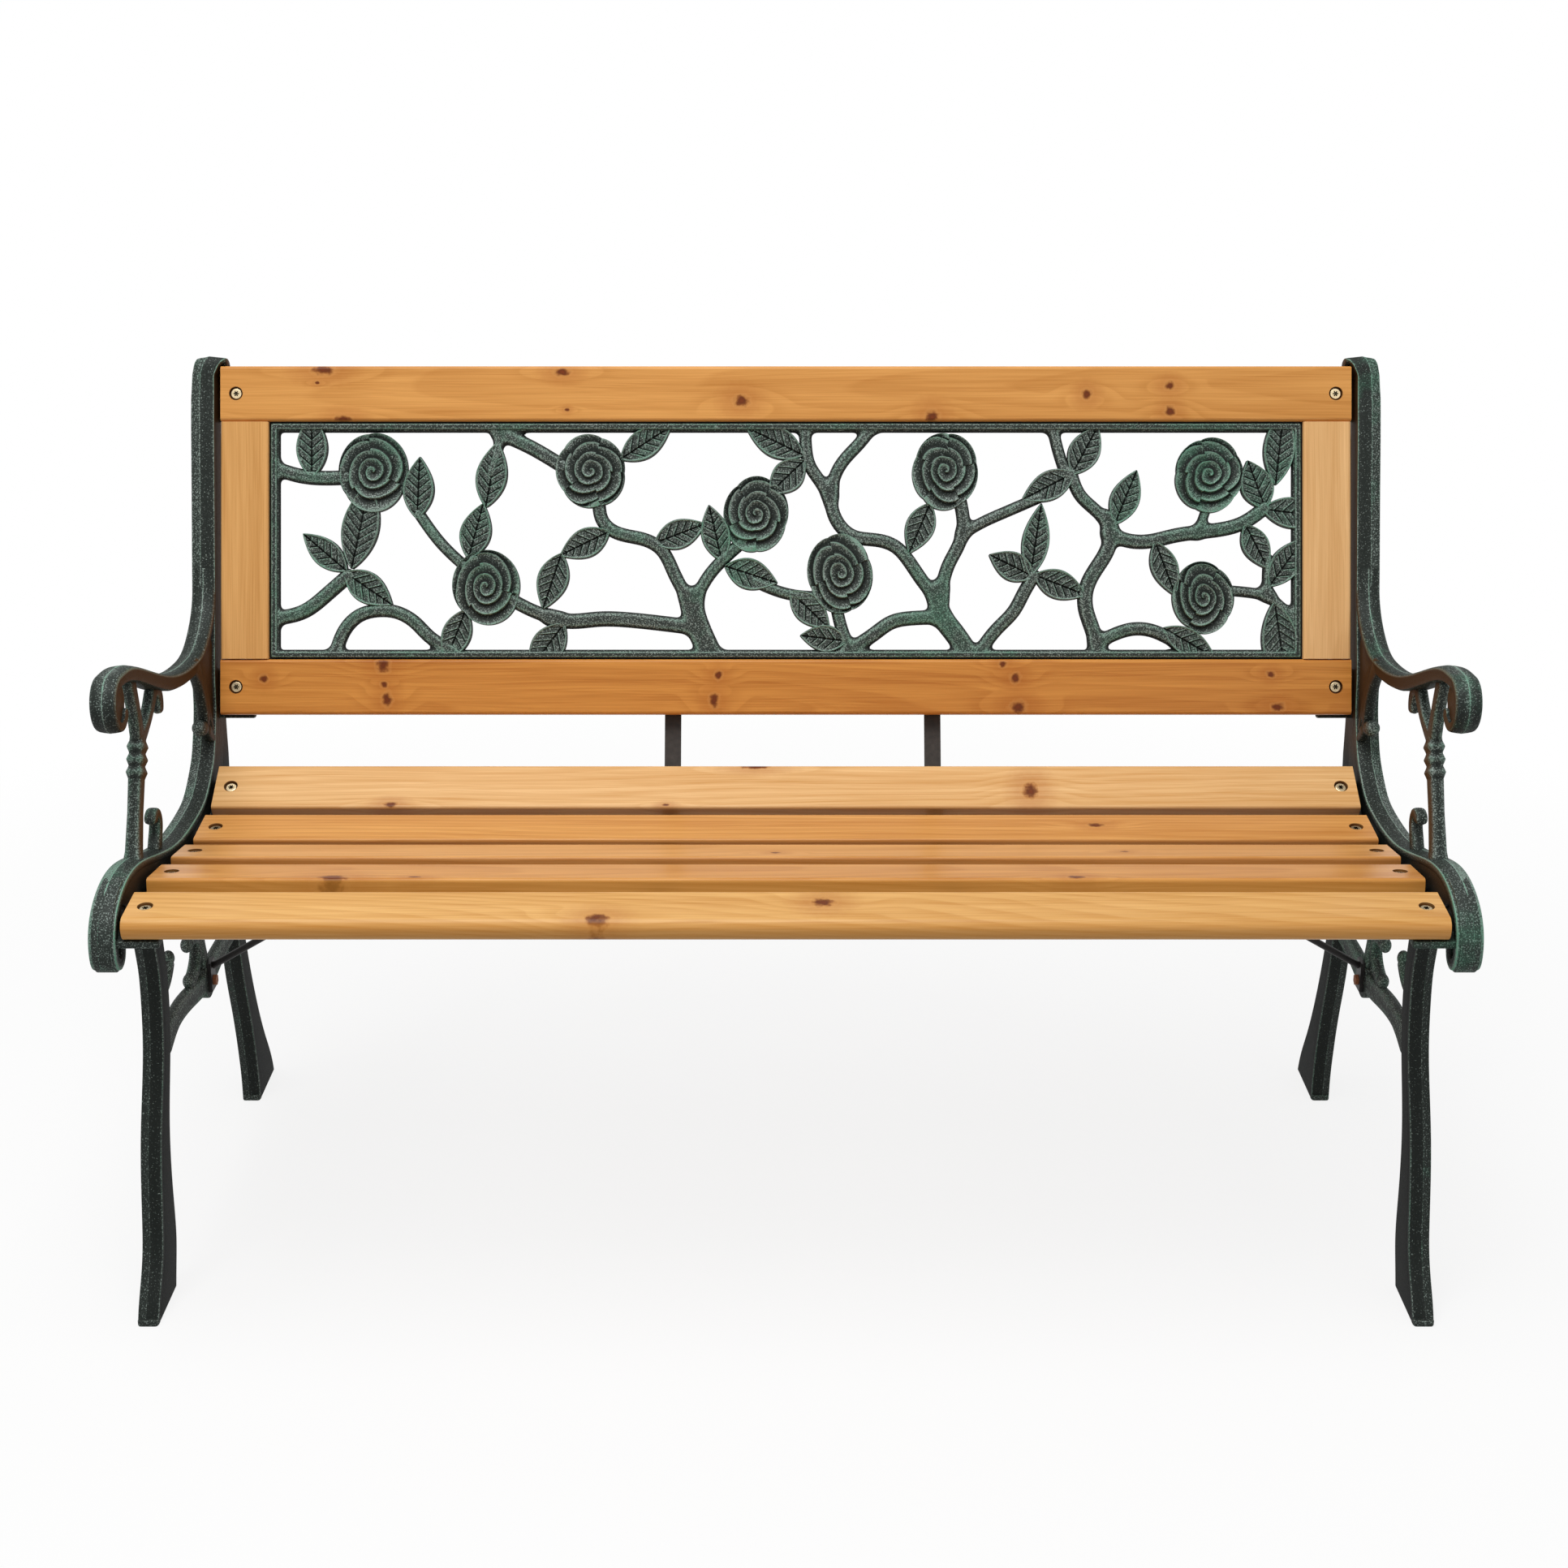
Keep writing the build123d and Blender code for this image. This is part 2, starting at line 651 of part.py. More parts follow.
# Straps: along the undersides of the seat boards and up behind the bottom rail
strap_line = [seat_planes[0].from_local_coords((0, 0, -board_thickness))]
for i, plane in enumerate(seat_planes):
    if i > 0:
        strap_line.append(plane.from_local_coords((0, -board_width / 2, -board_thickness)))
    strap_line.append(plane.from_local_coords((0, board_width / 2, -board_thickness)))
for height in (-board_width / 2, board_width / 2 - strap_end_margin):
    strap_line.append(bottom_rail_plane.from_local_coords((0, height, -board_thickness)))
strap_line = [(point.Y, point.Z) for point in strap_line]

straps = []
for label, x in (("support_strap_left", strap_left_x), ("support_strap_right", strap_right_x)):
    with BuildPart() as strap:
        with BuildSketch(Plane.YZ.offset(x - strap_width / 2)):
            with BuildLine():
                Polyline(*strap_line)
                offset(amount=strap_thickness, side=Side.RIGHT)
            make_face()
        extrude(amount=strap_width)
        for plane in seat_planes + [bottom_rail_plane]:
            with Locations(plane.offset(-board_thickness).location * Location((x, 0, 0))):
                Hole(screw_diameter / 2 + screw_hole_clearance, depth=3 * strap_thickness)
    strap.part.label = label
    straps.append(strap)


# Brace rods: a flat eye at the lug, a round rod, and a flat tab under a seat board
tab_plane = seat_planes[braced_board].offset(-board_thickness)
eye_face = lug_face + eye_thickness
rod_start = Vector(eye_face, lug_centre[0], lug_centre[1] + rod_start_rise)
rod_end = tab_plane.from_local_coords((-tab_x - tab_length / 3, tab_offset, -tab_thickness / 2))

with BuildPart() as brace_rod_left:
    eye_middle = lug_centre[1] + (eye_above - eye_below) / 2
    with Locations((lug_face + eye_thickness / 2, lug_centre[0], eye_middle)):
        Box(eye_thickness, eye_width, eye_above + eye_below)
    with BuildSketch(Plane(rod_start, z_dir=rod_end - rod_start)):
        Circle(rod_diameter / 2)
    extrude(amount=(rod_end - rod_start).length)
    with BuildSketch(tab_plane.offset(-tab_thickness)):
        with Locations((-tab_x, tab_offset)):
            Rectangle(tab_length, tab_width)
    extrude(amount=tab_thickness)
    with BuildSketch(tab_plane):
        with Locations((-tab_x, tab_offset)):
            Rectangle(2 * tab_length, 2 * tab_width)
    extrude(amount=rod_diameter, mode=Mode.SUBTRACT)
    with Locations(Location((lug_face, *lug_centre), (0, 90, 0))):
        Cylinder(bolt_diameter / 2 + bolt_hole_clearance, 4 * eye_thickness, mode=Mode.SUBTRACT)
    with Locations(tab_plane.location * Location((-tab_x, tab_offset, 0))):
        Hole(screw_diameter / 2 + screw_hole_clearance, depth=3 * tab_thickness)
brace_rod_left.part.label = "brace_rod_left"

with BuildPart() as brace_rod_right:
    mirror(brace_rod_left.part, about=Plane.YZ)
brace_rod_right.part.label = "brace_rod_right"


# Fasteners, each made with its bearing face at the origin and its shank along -Z

with BuildPart() as board_bolt:
    with Locations((0, 0, bolt_head_height / 2)):
        Cylinder(bolt_head_diameter / 2, bolt_head_height)
    fillet(board_bolt.edges().group_by(Axis.Z)[-1], bolt_head_height / 3)
    with Locations((0, 0, bolt_head_height - recess_depth / 2)):
        for turn in recess_turns:
            Box(recess_length, recess_width, recess_depth, rotation=(0, 0, turn), mode=Mode.SUBTRACT)
    with Locations((0, 0, -(grip + thread_end) / 2)):
        Cylinder(bolt_diameter / 2, grip + thread_end)

with BuildPart() as washer:
    with BuildSketch():
        Circle(washer_diameter / 2)
        Circle(bolt_diameter / 2 + bolt_hole_clearance, mode=Mode.SUBTRACT)
    extrude(amount=-washer_thickness)

with BuildPart() as nut:
    with BuildSketch():
        RegularPolygon(nut_across_flats / 2, 6, major_radius=False)
        Circle(bolt_diameter / 2, mode=Mode.SUBTRACT)
    extrude(amount=-nut_height)

with BuildPart() as wood_screw:
    with Locations((0, 0, screw_head_height / 2)):
        Cylinder(screw_head_diameter / 2, screw_head_height)
    fillet(wood_screw.edges().group_by(Axis.Z)[-1], screw_head_height / 2)
    with Locations((0, 0, -(strap_thickness + screw_bite) / 2)):
        Cylinder(screw_diameter / 2, strap_thickness + screw_bite)

brace_grip = eye_face - lug_back + nut_height
with BuildPart() as brace_bolt:
    with BuildSketch():
        RegularPolygon(nut_across_flats / 2, 6, major_radius=False)
    extrude(amount=bolt_head_height)
    with Locations((0, 0, -(brace_grip + brace_bolt_room) / 2)):
        Cylinder(bolt_diameter / 2, brace_grip + brace_bolt_room)


def repeated(label, shape, places):
    """One node that holds a copy of a fastener at each place."""
    with BuildPart() as group:
        with Locations(*places):
            add(shape.part)
    group.part.label = label
    return group


def bolt_places(planes, depth):
    """Places at both ends of each board, at a depth below its front face."""
    return [plane.location * Location((x, 0, -depth)) for plane in planes for x in (-bolt_x, bolt_x)]


under_pad = board_thickness + pad_thickness
back_planes = [bottom_rail_plane, top_rail_plane]
turned_over = Location((0, 0, 0), (180, 0, 0))
strap_screw_places = [
    plane.location * Location((x, 0, -board_thickness - strap_thickness)) * turned_over
    for plane in seat_planes + [bottom_rail_plane]
    for x in (strap_left_x, strap_right_x)
]
tab_screw_places = [
    tab_plane.location * Location((x, y, -tab_thickness)) * turned_over for x, y in tab_places
]
towards_left = Location((0, 0, 0), (0, 90, 0))
towards_right = Location((0, 0, 0), (0, -90, 0))
brace_bolt_places = [
    Location((eye_face, *lug_centre)) * towards_left,
    Location((-eye_face, *lug_centre)) * towards_right,
]
brace_nut_places = [
    Location((lug_back, *lug_centre)) * towards_left,
    Location((-lug_back, *lug_centre)) * towards_right,
]

fasteners = [
    repeated("seat_bolts", board_bolt, bolt_places(seat_planes, counterbore_depth)),
    repeated("seat_washers", washer, bolt_places(seat_planes, under_pad)),
    repeated("seat_nuts", nut, bolt_places(seat_planes, under_pad + washer_thickness)),
    repeated("back_bolts", board_bolt, bolt_places(back_planes, counterbore_depth)),
    repeated("back_washers", washer, bolt_places(back_planes, under_pad)),
    repeated("back_nuts", nut, bolt_places(back_planes, under_pad + washer_thickness)),
    repeated("strap_screws", wood_screw, strap_screw_places),
    repeated("brace_bolts", brace_bolt, brace_bolt_places),
    repeated("brace_nuts", nut, brace_nut_places),
    repeated("brace_screws", wood_screw, tab_screw_places),
]

# One file for each piece
os.makedirs("parts", exist_ok=True)
pieces = [end_frame_left, end_frame_right, rose_panel, stile_dowels, brace_rod_left, brace_rod_right]
pieces += seat_slats + rails + stiles + straps + fasteners
for piece in pieces:
    export_step(piece.part, f"parts/{piece.part.label}.step")
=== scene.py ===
import json
from functools import partial
from math import cos, pi, radians, sin

import bpy
import numpy as np
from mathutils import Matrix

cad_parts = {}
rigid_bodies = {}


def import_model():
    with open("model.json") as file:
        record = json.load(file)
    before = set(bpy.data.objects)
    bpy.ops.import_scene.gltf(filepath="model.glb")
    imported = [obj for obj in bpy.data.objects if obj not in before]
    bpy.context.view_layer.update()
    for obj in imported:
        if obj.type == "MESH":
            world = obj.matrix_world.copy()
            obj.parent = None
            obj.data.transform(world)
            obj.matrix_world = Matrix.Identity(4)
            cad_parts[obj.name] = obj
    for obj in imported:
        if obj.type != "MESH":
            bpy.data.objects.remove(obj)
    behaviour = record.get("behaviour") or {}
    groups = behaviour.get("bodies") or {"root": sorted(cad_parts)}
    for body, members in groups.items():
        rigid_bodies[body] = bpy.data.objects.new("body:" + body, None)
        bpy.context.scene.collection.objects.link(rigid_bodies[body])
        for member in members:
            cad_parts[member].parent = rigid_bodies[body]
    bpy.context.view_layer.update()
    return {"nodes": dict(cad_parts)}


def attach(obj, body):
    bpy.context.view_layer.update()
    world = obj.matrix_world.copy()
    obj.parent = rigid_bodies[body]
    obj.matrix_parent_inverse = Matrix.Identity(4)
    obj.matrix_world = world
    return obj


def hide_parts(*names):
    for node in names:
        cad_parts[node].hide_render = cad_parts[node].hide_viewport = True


# Garden bench: two cast-iron end frames carry five pine seat boards and a pine back with a cast rose panel.
# Lengths here are millimetres, written to the meshes as metres. X runs along the bench, the sitter faces
# -Y, Z is up, and the side view is (y, z).

for start_object in list(bpy.data.objects):
    bpy.data.objects.remove(start_object)
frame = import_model()
nodes = frame["nodes"]


# End frames
# Two iron castings, each poured in sand as one piece: post, rolled arm, seat rail, two legs and scrolls.
# They are painted black, then rubbed with green on whatever stands out. The boards bolt to flat seats.

seat_height = 430
frame_middle = -602
rail_width = 24
back_height = 360
back_lean = radians(20)
back_foot = (134, 482)


def back_point(along, proud):
    """Side-view point at a distance up the back's slope and proud of the rails' front."""
    return (
        back_foot[0] + along * sin(back_lean) - proud * cos(back_lean),
        back_foot[1] + along * cos(back_lean) + proud * sin(back_lean),
    )


def over_seat(points):
    """Side-view points whose heights are given over the seat."""
    return [(y, seat_height + rise) for y, rise in points]


def smooth(points, count):
    """Natural cubic spline through the points at even steps of chord length.
    Its second slopes solve one linear system and are zero at both ends."""
    points = np.asarray(points, float)
    gaps = np.linalg.norm(np.diff(points, axis=0), axis=1)
    runs = np.append(0, np.cumsum(gaps))
    inner = np.arange(1, len(points) - 1)
    system = np.eye(len(points))
    system[inner, inner - 1] = gaps[:-1]
    system[inner, inner] = 2 * (gaps[:-1] + gaps[1:])
    system[inner, inner + 1] = gaps[1:]
    slopes = np.diff(points, axis=0) / gaps[:, None]
    right_side = np.zeros_like(points)
    right_side[1:-1] = 6 * np.diff(slopes, axis=0)
    bends = np.linalg.solve(system, right_side)
    run = np.linspace(0, runs[-1], count)
    i = np.clip(np.searchsorted(runs, run, side="right") - 1, 0, len(gaps) - 1)
    step = (run - runs[i])[:, None]
    gap = gaps[i][:, None]
    start_slope = slopes[i] - gap * (2 * bends[i] + bends[i + 1]) / 6
    return (
        points[i]
        + step * start_slope
        + step**2 * bends[i] / 2
        + step**3 * (bends[i + 1] - bends[i]) / (6 * gap)
    )


def length_along(line):
    """Distance travelled at each point of a line: the sum of its steps so far."""
    return np.append(0, np.cumsum(np.linalg.norm(np.diff(line, axis=0), axis=1)))


def square_to(line):
    """Unit vectors square to a side-view line, on the left of its direction."""
    run = np.gradient(line, axis=0)
    run /= np.linalg.norm(run, axis=1, keepdims=True)
    return np.column_stack([-run[:, 1], run[:, 0]])


def outward(points, blocks, wear_and_shade):
    """Closed shell with its faces turned outwards. Its volume is a sixth of the sum of a . (b x c) over
    its triangles; where that sum is below zero, every face is turned over."""
    fans = [block[:, [0, i, i + 1]] for block in blocks for i in range(1, block.shape[1] - 1)]
    a, b, c = points[np.concatenate(fans)].transpose(1, 0, 2)
    if (a * np.cross(b, c)).sum() < 0:
        blocks = [block[:, ::-1] for block in blocks]
    return points, blocks, wear_and_shade


def skin(rings, wear_and_shade, ring_shaped=False):
    """Closed surface over rings of points: four-sided faces from ring to ring, and a fan of triangles from
    the middle of each end ring. A ring-shaped one joins its last ring to its first instead."""
    rows, columns = rings.shape[:2]
    index = np.arange(rows * columns).reshape(rows, columns)
    if ring_shaped:
        index = np.vstack([index, index[:1]])
    beside = np.roll(index, -1, axis=1)
    blocks = [np.stack([index[:-1], beside[:-1], beside[1:], index[1:]], axis=-1).reshape(-1, 4)]
    points = rings.reshape(-1, 3)
    wear_and_shade = np.broadcast_to(wear_and_shade, (rows, columns)).ravel()
    if not ring_shaped:
        for end, ring, following in ((0, beside, index), (-1, index, beside)):
            hub = np.full(columns, len(points))
            blocks.append(np.stack([hub, ring[end], following[end]], axis=-1))
            points = np.vstack([points, rings[end].mean(axis=0)])
            wear_and_shade = np.append(wear_and_shade, wear_and_shade[index[end]].mean())
    return outward(points, blocks, wear_and_shade)


def carry(path, section, wide=1.0, middle=0.0, rubbing=1.0):
    """Section carried along a side-view path of front and back points. A section point (x, start, share)
    lies start + share * depth behind the front line, its x is widened and moved sideways, and its wear and
    painted shade are scaled by how much that stretch of the path was rubbed."""
    front = path[:, :2]
    depth = np.linalg.norm(path[:, 2:] - front, axis=1, keepdims=True)
    inward = (path[:, 2:] - front) / depth
    x, start, share, wear_and_shade = np.array(section).T
    side_view = front[:, None] + inward[:, None] * (start + share * depth)[..., None]
    across = frame_middle + np.reshape(middle, (-1, 1)) + x * np.reshape(wide, (-1, 1))
    across = np.broadcast_to(across, side_view.shape[:2])
    return skin(np.dstack([across, side_view]), wear_and_shade * np.reshape(rubbing, (-1, 1)))


oval_power = 0.6
ring_points = 20
blunt_end = 1.02
pole_gap = 0.1


def around(count):
    """Even angles round a full turn."""
    return np.linspace(0, 2 * pi, count, endpoint=False)


def squarish(angle):
    """Squarish oval: the cosine and the sine, each with its sign kept and its size raised to a power."""
    oval = np.stack([np.cos(angle), np.sin(angle)])
    return np.sign(oval) * np.abs(oval) ** oval_power


def bar(points, half_widths, thickness, count=36, rubbing=0.5, shift=0):
    """Bar along a smooth side-view line. Its section is a squarish oval whose half width runs evenly
    through the given values; both ends are rounded as quarter circles that stop short of a point, and the
    bar may be shifted towards the boards."""
    line = smooth(points, count)
    run = length_along(line)
    half = np.interp(run, np.linspace(0, run[-1], len(half_widths)), half_widths)
    to_end = np.minimum(run, run[-1] - run)
    rounding = np.sqrt(blunt_end - (1 - np.clip(to_end / half, 0, 1)) ** 2)
    angle = around(ring_points)
    over, along = squarish(angle)
    side_view = line[:, None] + square_to(line)[:, None] * (along * (half * rounding)[:, None])[..., None]
    across = frame_middle + shift + over * (thickness / 2 * rounding)[:, None]
    return skin(np.dstack([across, side_view]), rubbing * (0.55 + 0.45 * np.abs(np.sin(2 * angle))))


def knob(y, z, radius, half_thickness, shift=0):
    """Flattened ball in the side view: rings of latitude, radius * sin and half thickness * cos. Its front
    is painted lighter than its back, a painted highlight."""
    latitude = np.linspace(pole_gap, pi - pole_gap, 11)[:, None]
    angle = around(ring_points)
    across = frame_middle + shift + half_thickness * np.cos(latitude) + 0 * angle
    reach = radius * np.sin(latitude)
    rings = np.dstack([across, y + reach * np.cos(angle), z + reach * np.sin(angle)])
    return skin(rings, 0.27 - 0.25 * np.cos(angle))


def rounded_rectangle(width, height, radius):
    """Outline of a rectangle about its middle, its corners quarter circles."""
    quarter = np.linspace(0, pi / 2, 5)
    corners = [(1, 1, 0), (-1, 1, pi / 2), (-1, -1, pi), (1, -1, 3 * pi / 2)]
    sides = []
    for side_x, side_y, turn in corners:
        corner_x = side_x * (width / 2 - radius) + radius * np.cos(quarter + turn)
        corner_y = side_y * (height / 2 - radius) + radius * np.sin(quarter + turn)
        sides.append(np.column_stack([corner_x, corner_y]))
    return np.concatenate(sides)


plate_step = 0.3
plate_wear = np.array([0.2, 0.5, 0.35, 0.35, 0.5, 0.2])[:, None]


def plate(outline, low, high, rounding, origin, across, up, through):
    """Plate between two levels of one outline, placed by its origin and three directions. Towards both
    faces the outline is drawn in by the rounding, in two steps along the normals of its edges."""
    outline = np.asarray(outline, float)
    run = np.roll(outline, -1, axis=0) - np.roll(outline, 1, axis=0)
    inward = np.column_stack([-run[:, 1], run[:, 0]]) / np.linalg.norm(run, axis=1, keepdims=True)
    area = (outline * np.roll(outline, -1, axis=0)[:, ::-1] * [1, -1]).sum()
    inward *= np.sign(area)
    levels = [(low, 1), (low + plate_step * rounding, plate_step), (low + rounding, 0)]
    levels += [(high - rounding, 0), (high - plate_step * rounding, plate_step), (high, 1)]
    rings = []
    for level, draw in levels:
        drawn = outline + inward * rounding * draw
        rings.append(origin + drawn[:, :1] * across + drawn[:, 1:] * up + level * through)
    return skin(np.array(rings), plate_wear)


along_x = np.array([1.0, 0, 0])
along_y = np.array([0, 1.0, 0])
along_z = np.array([0, 0, 1.0])


def side_plate(outline, low, high, rounding):
    """Plate whose outline is drawn in the side view, between two places across the frame."""
    in_frame = np.array([frame_middle, 0, 0])
    return plate(outline, low, high, rounding, in_frame, along_y, along_z, along_x)


# Ribbon section: a low ridge on the front, sharp edges, and a web behind it that is nearly flush on the
# bench's inner side and hollow on its outer side. Columns: x, start, share of depth, wear and painted
# shade: high on the edges, rubbed paint with a painted highlight, and low on the web in the hollow, a
# painted shade.
rail_section = [
    (-2.6, 0, 0, 1.5), (-1.8, 0.15, 0, 0.5), (4, 0.9, 0, 0.4), (10.4, 1.7, 0, 0.5), (11.6, 2.2, 0, 2.0),
    (12, 3, 0, 0.8), (12, 7.6, 0, 0.15), (11.4, 8.8, 0, 0.05), (11.8, 10.4, 0, 0.05),
    (11.8, -1.5, 1, 0.15), (10.5, 0, 1, 0.3), (1, 0, 1, 0.3), (0, -1, 1, 0.15), (0, 10.4, 0, 0.05),
    (-10.5, 9.2, 0, 0.1), (-12, 7.6, 0, 0.2),
    (-12, 3, 0, 0.6), (-11.6, 2.2, 0, 1.2), (-10.4, 1.7, 0, 0.8), (-5.5, 0.9, 0, 0.9), (-3.4, 0.15, 0, 0.8),
]

# Post and seat rail: one ribbon, from the cap down the back, forward under the boards and round the nose
post_line = [
    back_point(back_height + along, proud)
    for along, proud in [(2, -22), (8.5, -16), (10.7, -8), (8, 1.5), (-1, 4.4), (-20, 4), (-47, 4)]
]
post_line += [
    back_point(along, proud)
    for along, proud in [(back_height - 126, 2), (151, 0), (79, -1), (30, -2), (8, -6)]
]
seat_line = over_seat(
    [(130, 31), (118, 13), (103, 1), (73, -15), (41, -20), (-2, -21), (-36, -19), (-136, 4), (-203, 16)]
)
nose_line = over_seat(
    [
        (-226, 14), (-246, 8), (-264, -3), (-275, -18), (-278.5, -35), (-275, -50), (-262, -58),
        (-248, -54), (-240, -38),
    ]
)
nose_root = over_seat([(-212, -24), (-200, 14)])
ribbon = smooth(post_line + seat_line + nose_line, 300)

# By distance along the ribbon from its cap: its depth, how far the cap's edges are drawn in, its rubbing
ribbon_run = length_along(ribbon)
ribbon_depth = np.interp(ribbon_run, [24, 50, 400, 450, 785, 815], [9.8, 34, 34, 42, 42, 13])
cap_inner = np.interp(ribbon_run, [0, 24, 34, 46], [12, 12, 5, 0])
cap_outer = np.interp(ribbon_run, [0, 8, 16, 24, 34, 46, 70], [12, 10.5, 8.8, 6, 3.2, 1.4, 0])
ribbon_rubbing = np.interp(ribbon_run, [0, 300, 430, 700, 800], [0.5, 0.45, 0.55, 0.6, 0.85])
ribbon_path = np.column_stack([ribbon, ribbon + square_to(ribbon) * ribbon_depth[:, None]])
ribbon_wide = 1 + (cap_inner - cap_outer) / rail_width
ribbon_middle = (cap_inner + cap_outer) / 2
frame_parts = [carry(ribbon_path, rail_section, ribbon_wide, ribbon_middle, ribbon_rubbing)]
nose_half = 9
nose_rounding = 1
nose_outline = np.vstack([smooth(nose_line, 40), nose_root])
frame_parts.append(side_plate(nose_outline, -nose_half, nose_half, nose_rounding))

# Legs: the same ribbon, narrower, and deeper towards the foot. Each row is a front and a back point. The
# rear leg widens towards its top, where it ends just inside the post, and both stand on flat feet.
front_leg = [
    (-152, 400, -112, 400), (-145, 341, -113, 341), (-140, 314, -110, 312), (-142, 281, -111, 280),
    (-150, 242, -119, 242), (-185, 166, -149, 166), (-208, 91, -162, 91), (-224, 47, -166, 47),
    (-250, 11, -178, 14), (-255, 1, -183, 1),
]
rear_leg = [
    (164, 540, 194, 544), (150, 490, 187, 500), (144, 440, 182, 450), (147, 400, 181, 400),
    (150, 350, 183, 350), (158, 270, 191, 270), (168, 202, 200, 202), (174, 165, 209, 165),
    (188, 114, 226, 114), (199, 58, 252, 58), (202, 17, 274, 17), (201, 1, 279, 1),
]
leg_width = 20
leg_shift = -2
leg_top_width = 23
leg_top_shift = 0.4
leg_top_heights = [330, 420]
# The legs' low wear is partly painted shade for the shadow under the seat
leg_rubbing_and_shade = 0.32
foot_width = leg_width - 0.6
foot_height = 7
foot_overhang = 0.5
foot_corner = 3
foot_rounding = 1.5
for leg in (front_leg, rear_leg):
    leg_path = smooth(leg, 110)
    leg_top = np.interp(leg_path[:, 1], leg_top_heights, [0, 1]) * (leg is rear_leg)
    leg_wide = (leg_width + (leg_top_width - leg_width) * leg_top) / rail_width
    leg_middle = leg_shift + (leg_top_shift - leg_shift) * leg_top
    frame_parts.append(carry(leg_path, rail_section, leg_wide, leg_middle, leg_rubbing_and_shade))
    foot_front = leg[-1][0] - foot_overhang
    foot_back = leg[-1][2] + foot_overhang
    foot_outline = rounded_rectangle(foot_width, foot_back - foot_front, foot_corner)
    foot_place = np.array([frame_middle + leg_shift, (foot_front + foot_back) / 2, 0])
    foot = plate(foot_outline, 0, foot_height, foot_rounding, foot_place, along_x, along_y, along_z)
    frame_parts.append(foot)

# Arm: a ribbon that leaves the post, leans forwards to the inner side and rolls under into a volute. Its
# section's columns are the rail's, with x as a share of the half width.
arm_half_width = 12
arm_section = [
    (0, 0, 0, 1.6), (0.07, 0.15, 0, 0.7), (0.4, 0.6, 0, 0.45), (0.72, 1.3, 0, 0.45), (0.88, 2.2, 0, 0.6),
    (0.96, 3.2, 0, 1.3), (1, 4.2, 0, 0.5), (0.97, 4.9, 0, 0.1), (0.95, -4.5, 1, 0.3), (0.86, -1.5, 1, 0.5),
    (0.6, 0, 1, 0.4), (-0.6, 0, 1, 0.4), (-0.86, -1.5, 1, 0.5), (-0.95, -4.5, 1, 0.3), (-0.95, 4.9, 0, 0.1),
    (-1, 4.2, 0, 0.5), (-0.96, 3.2, 0, 1.0), (-0.88, 2.2, 0, 0.6), (-0.72, 1.3, 0, 0.45),
    (-0.4, 0.6, 0, 0.5), (-0.07, 0.15, 0, 0.7),
]
arm_line = [back_point(151, 0), back_point(117, 2)] + over_seat(
    [(141, 137), (112, 126.5), (81, 125.5), (-1, 138.5), (-104, 177), (-150, 191), (-180, 193)]
)
roll_centre = np.array([-180, 596])
roll_angle = np.radians(np.linspace(94, 312, 60))
roll_radius = np.interp(np.degrees(roll_angle), [262, 312], [27, 22])
roll = roll_centre + np.column_stack([np.cos(roll_angle), np.sin(roll_angle)]) * roll_radius[:, None]
arm = np.vstack([smooth(arm_line, 90), roll])
arm_step = np.arange(len(arm))
arm_depth = np.interp(arm_step, [20, 50, 90, 125, 149], [14, 17, 14, 12, 10])
arm_rubbing = np.interp(arm_step, [0, 60, 80, 105, 125], [0.5, 0.55, 0.7, 0.6, 0.4])
arm_growth = np.interp(-arm[:, 0], [-81, 104], [0, 1])
arm_path = np.column_stack([arm, arm + square_to(arm) * arm_depth[:, None]])
frame_parts.append(carry(arm_path, arm_section, arm_half_width, arm_growth, arm_rubbing))
turn = around(24)
circle = np.column_stack([np.cos(turn), np.sin(turn)])
lip_centre = arm_path[-1].reshape(2, 2).mean(axis=0)

# Discs that fill the volute and end its lip. Columns: centre, radius, and the two places across the frame.
disc_rounding = 1.5
for centre, radius, low, high in ((roll_centre + (-1, 1), 19, -9, 9), (lip_centre, 5.5, -10, 12)):
    frame_parts.append(side_plate(centre + radius * circle, low, high, disc_rounding))

# Baluster under the arm: a squarish shaft that leans back, with three beads, a forked head, a hooked leaf
# at its foot, and another leaf that hangs from the arm in front of the post
baluster_lean = radians(27)
baluster_foot = -158
middle_bead = 100
bead_spacing = 12
bead_wear_and_shade = 0.18
shaft_wear = 0.28
shaft_corner_wear = 0.34
shaft_places = [3, 5, 14, 50, 78, 82, 88, 93.4, 94.6, 100, 105.4, 106.6, 112, 117.4, 120, 126]
shaft_half_x = [9, 8.8, 7.5, 6.7, 7, 7, 9.2, 7, 7, 9.2, 7, 7, 9.2, 7, 6.8, 6.2]
shaft_half_y = [10.2, 10, 8.6, 7.6, 7.8, 8, 10.2, 8, 8, 10.2, 8, 8, 10.2, 8, 7.8, 7.2]
place_along = np.linspace(shaft_places[0], shaft_places[-1], 130)[:, None]
half_x = np.interp(place_along, shaft_places, shaft_half_x)
half_y = np.interp(place_along, shaft_places, shaft_half_y)
squarish_x, squarish_y = squarish(turn)
shaft_rings = np.dstack(
    [
        frame_middle + half_x * squarish_x,
        baluster_foot + place_along * sin(baluster_lean) + half_y * squarish_y * cos(baluster_lean),
        seat_height + place_along * cos(baluster_lean) - half_y * squarish_y * sin(baluster_lean),
    ]
)
# Beads: lighter on their tops, and darker in the grooves between them as painted shade
from_bead = place_along - middle_bead
bead_tops = bead_wear_and_shade * np.cos(2 * pi * from_bead / bead_spacing)
bead_rubbing_and_shade = np.where(np.abs(from_bead) < 1.5 * bead_spacing, bead_tops, 0)
shaft_rubbing = shaft_wear + shaft_corner_wear * np.abs(np.sin(2 * turn)) + bead_rubbing_and_shade
frame_parts.append(skin(shaft_rings, shaft_rubbing))

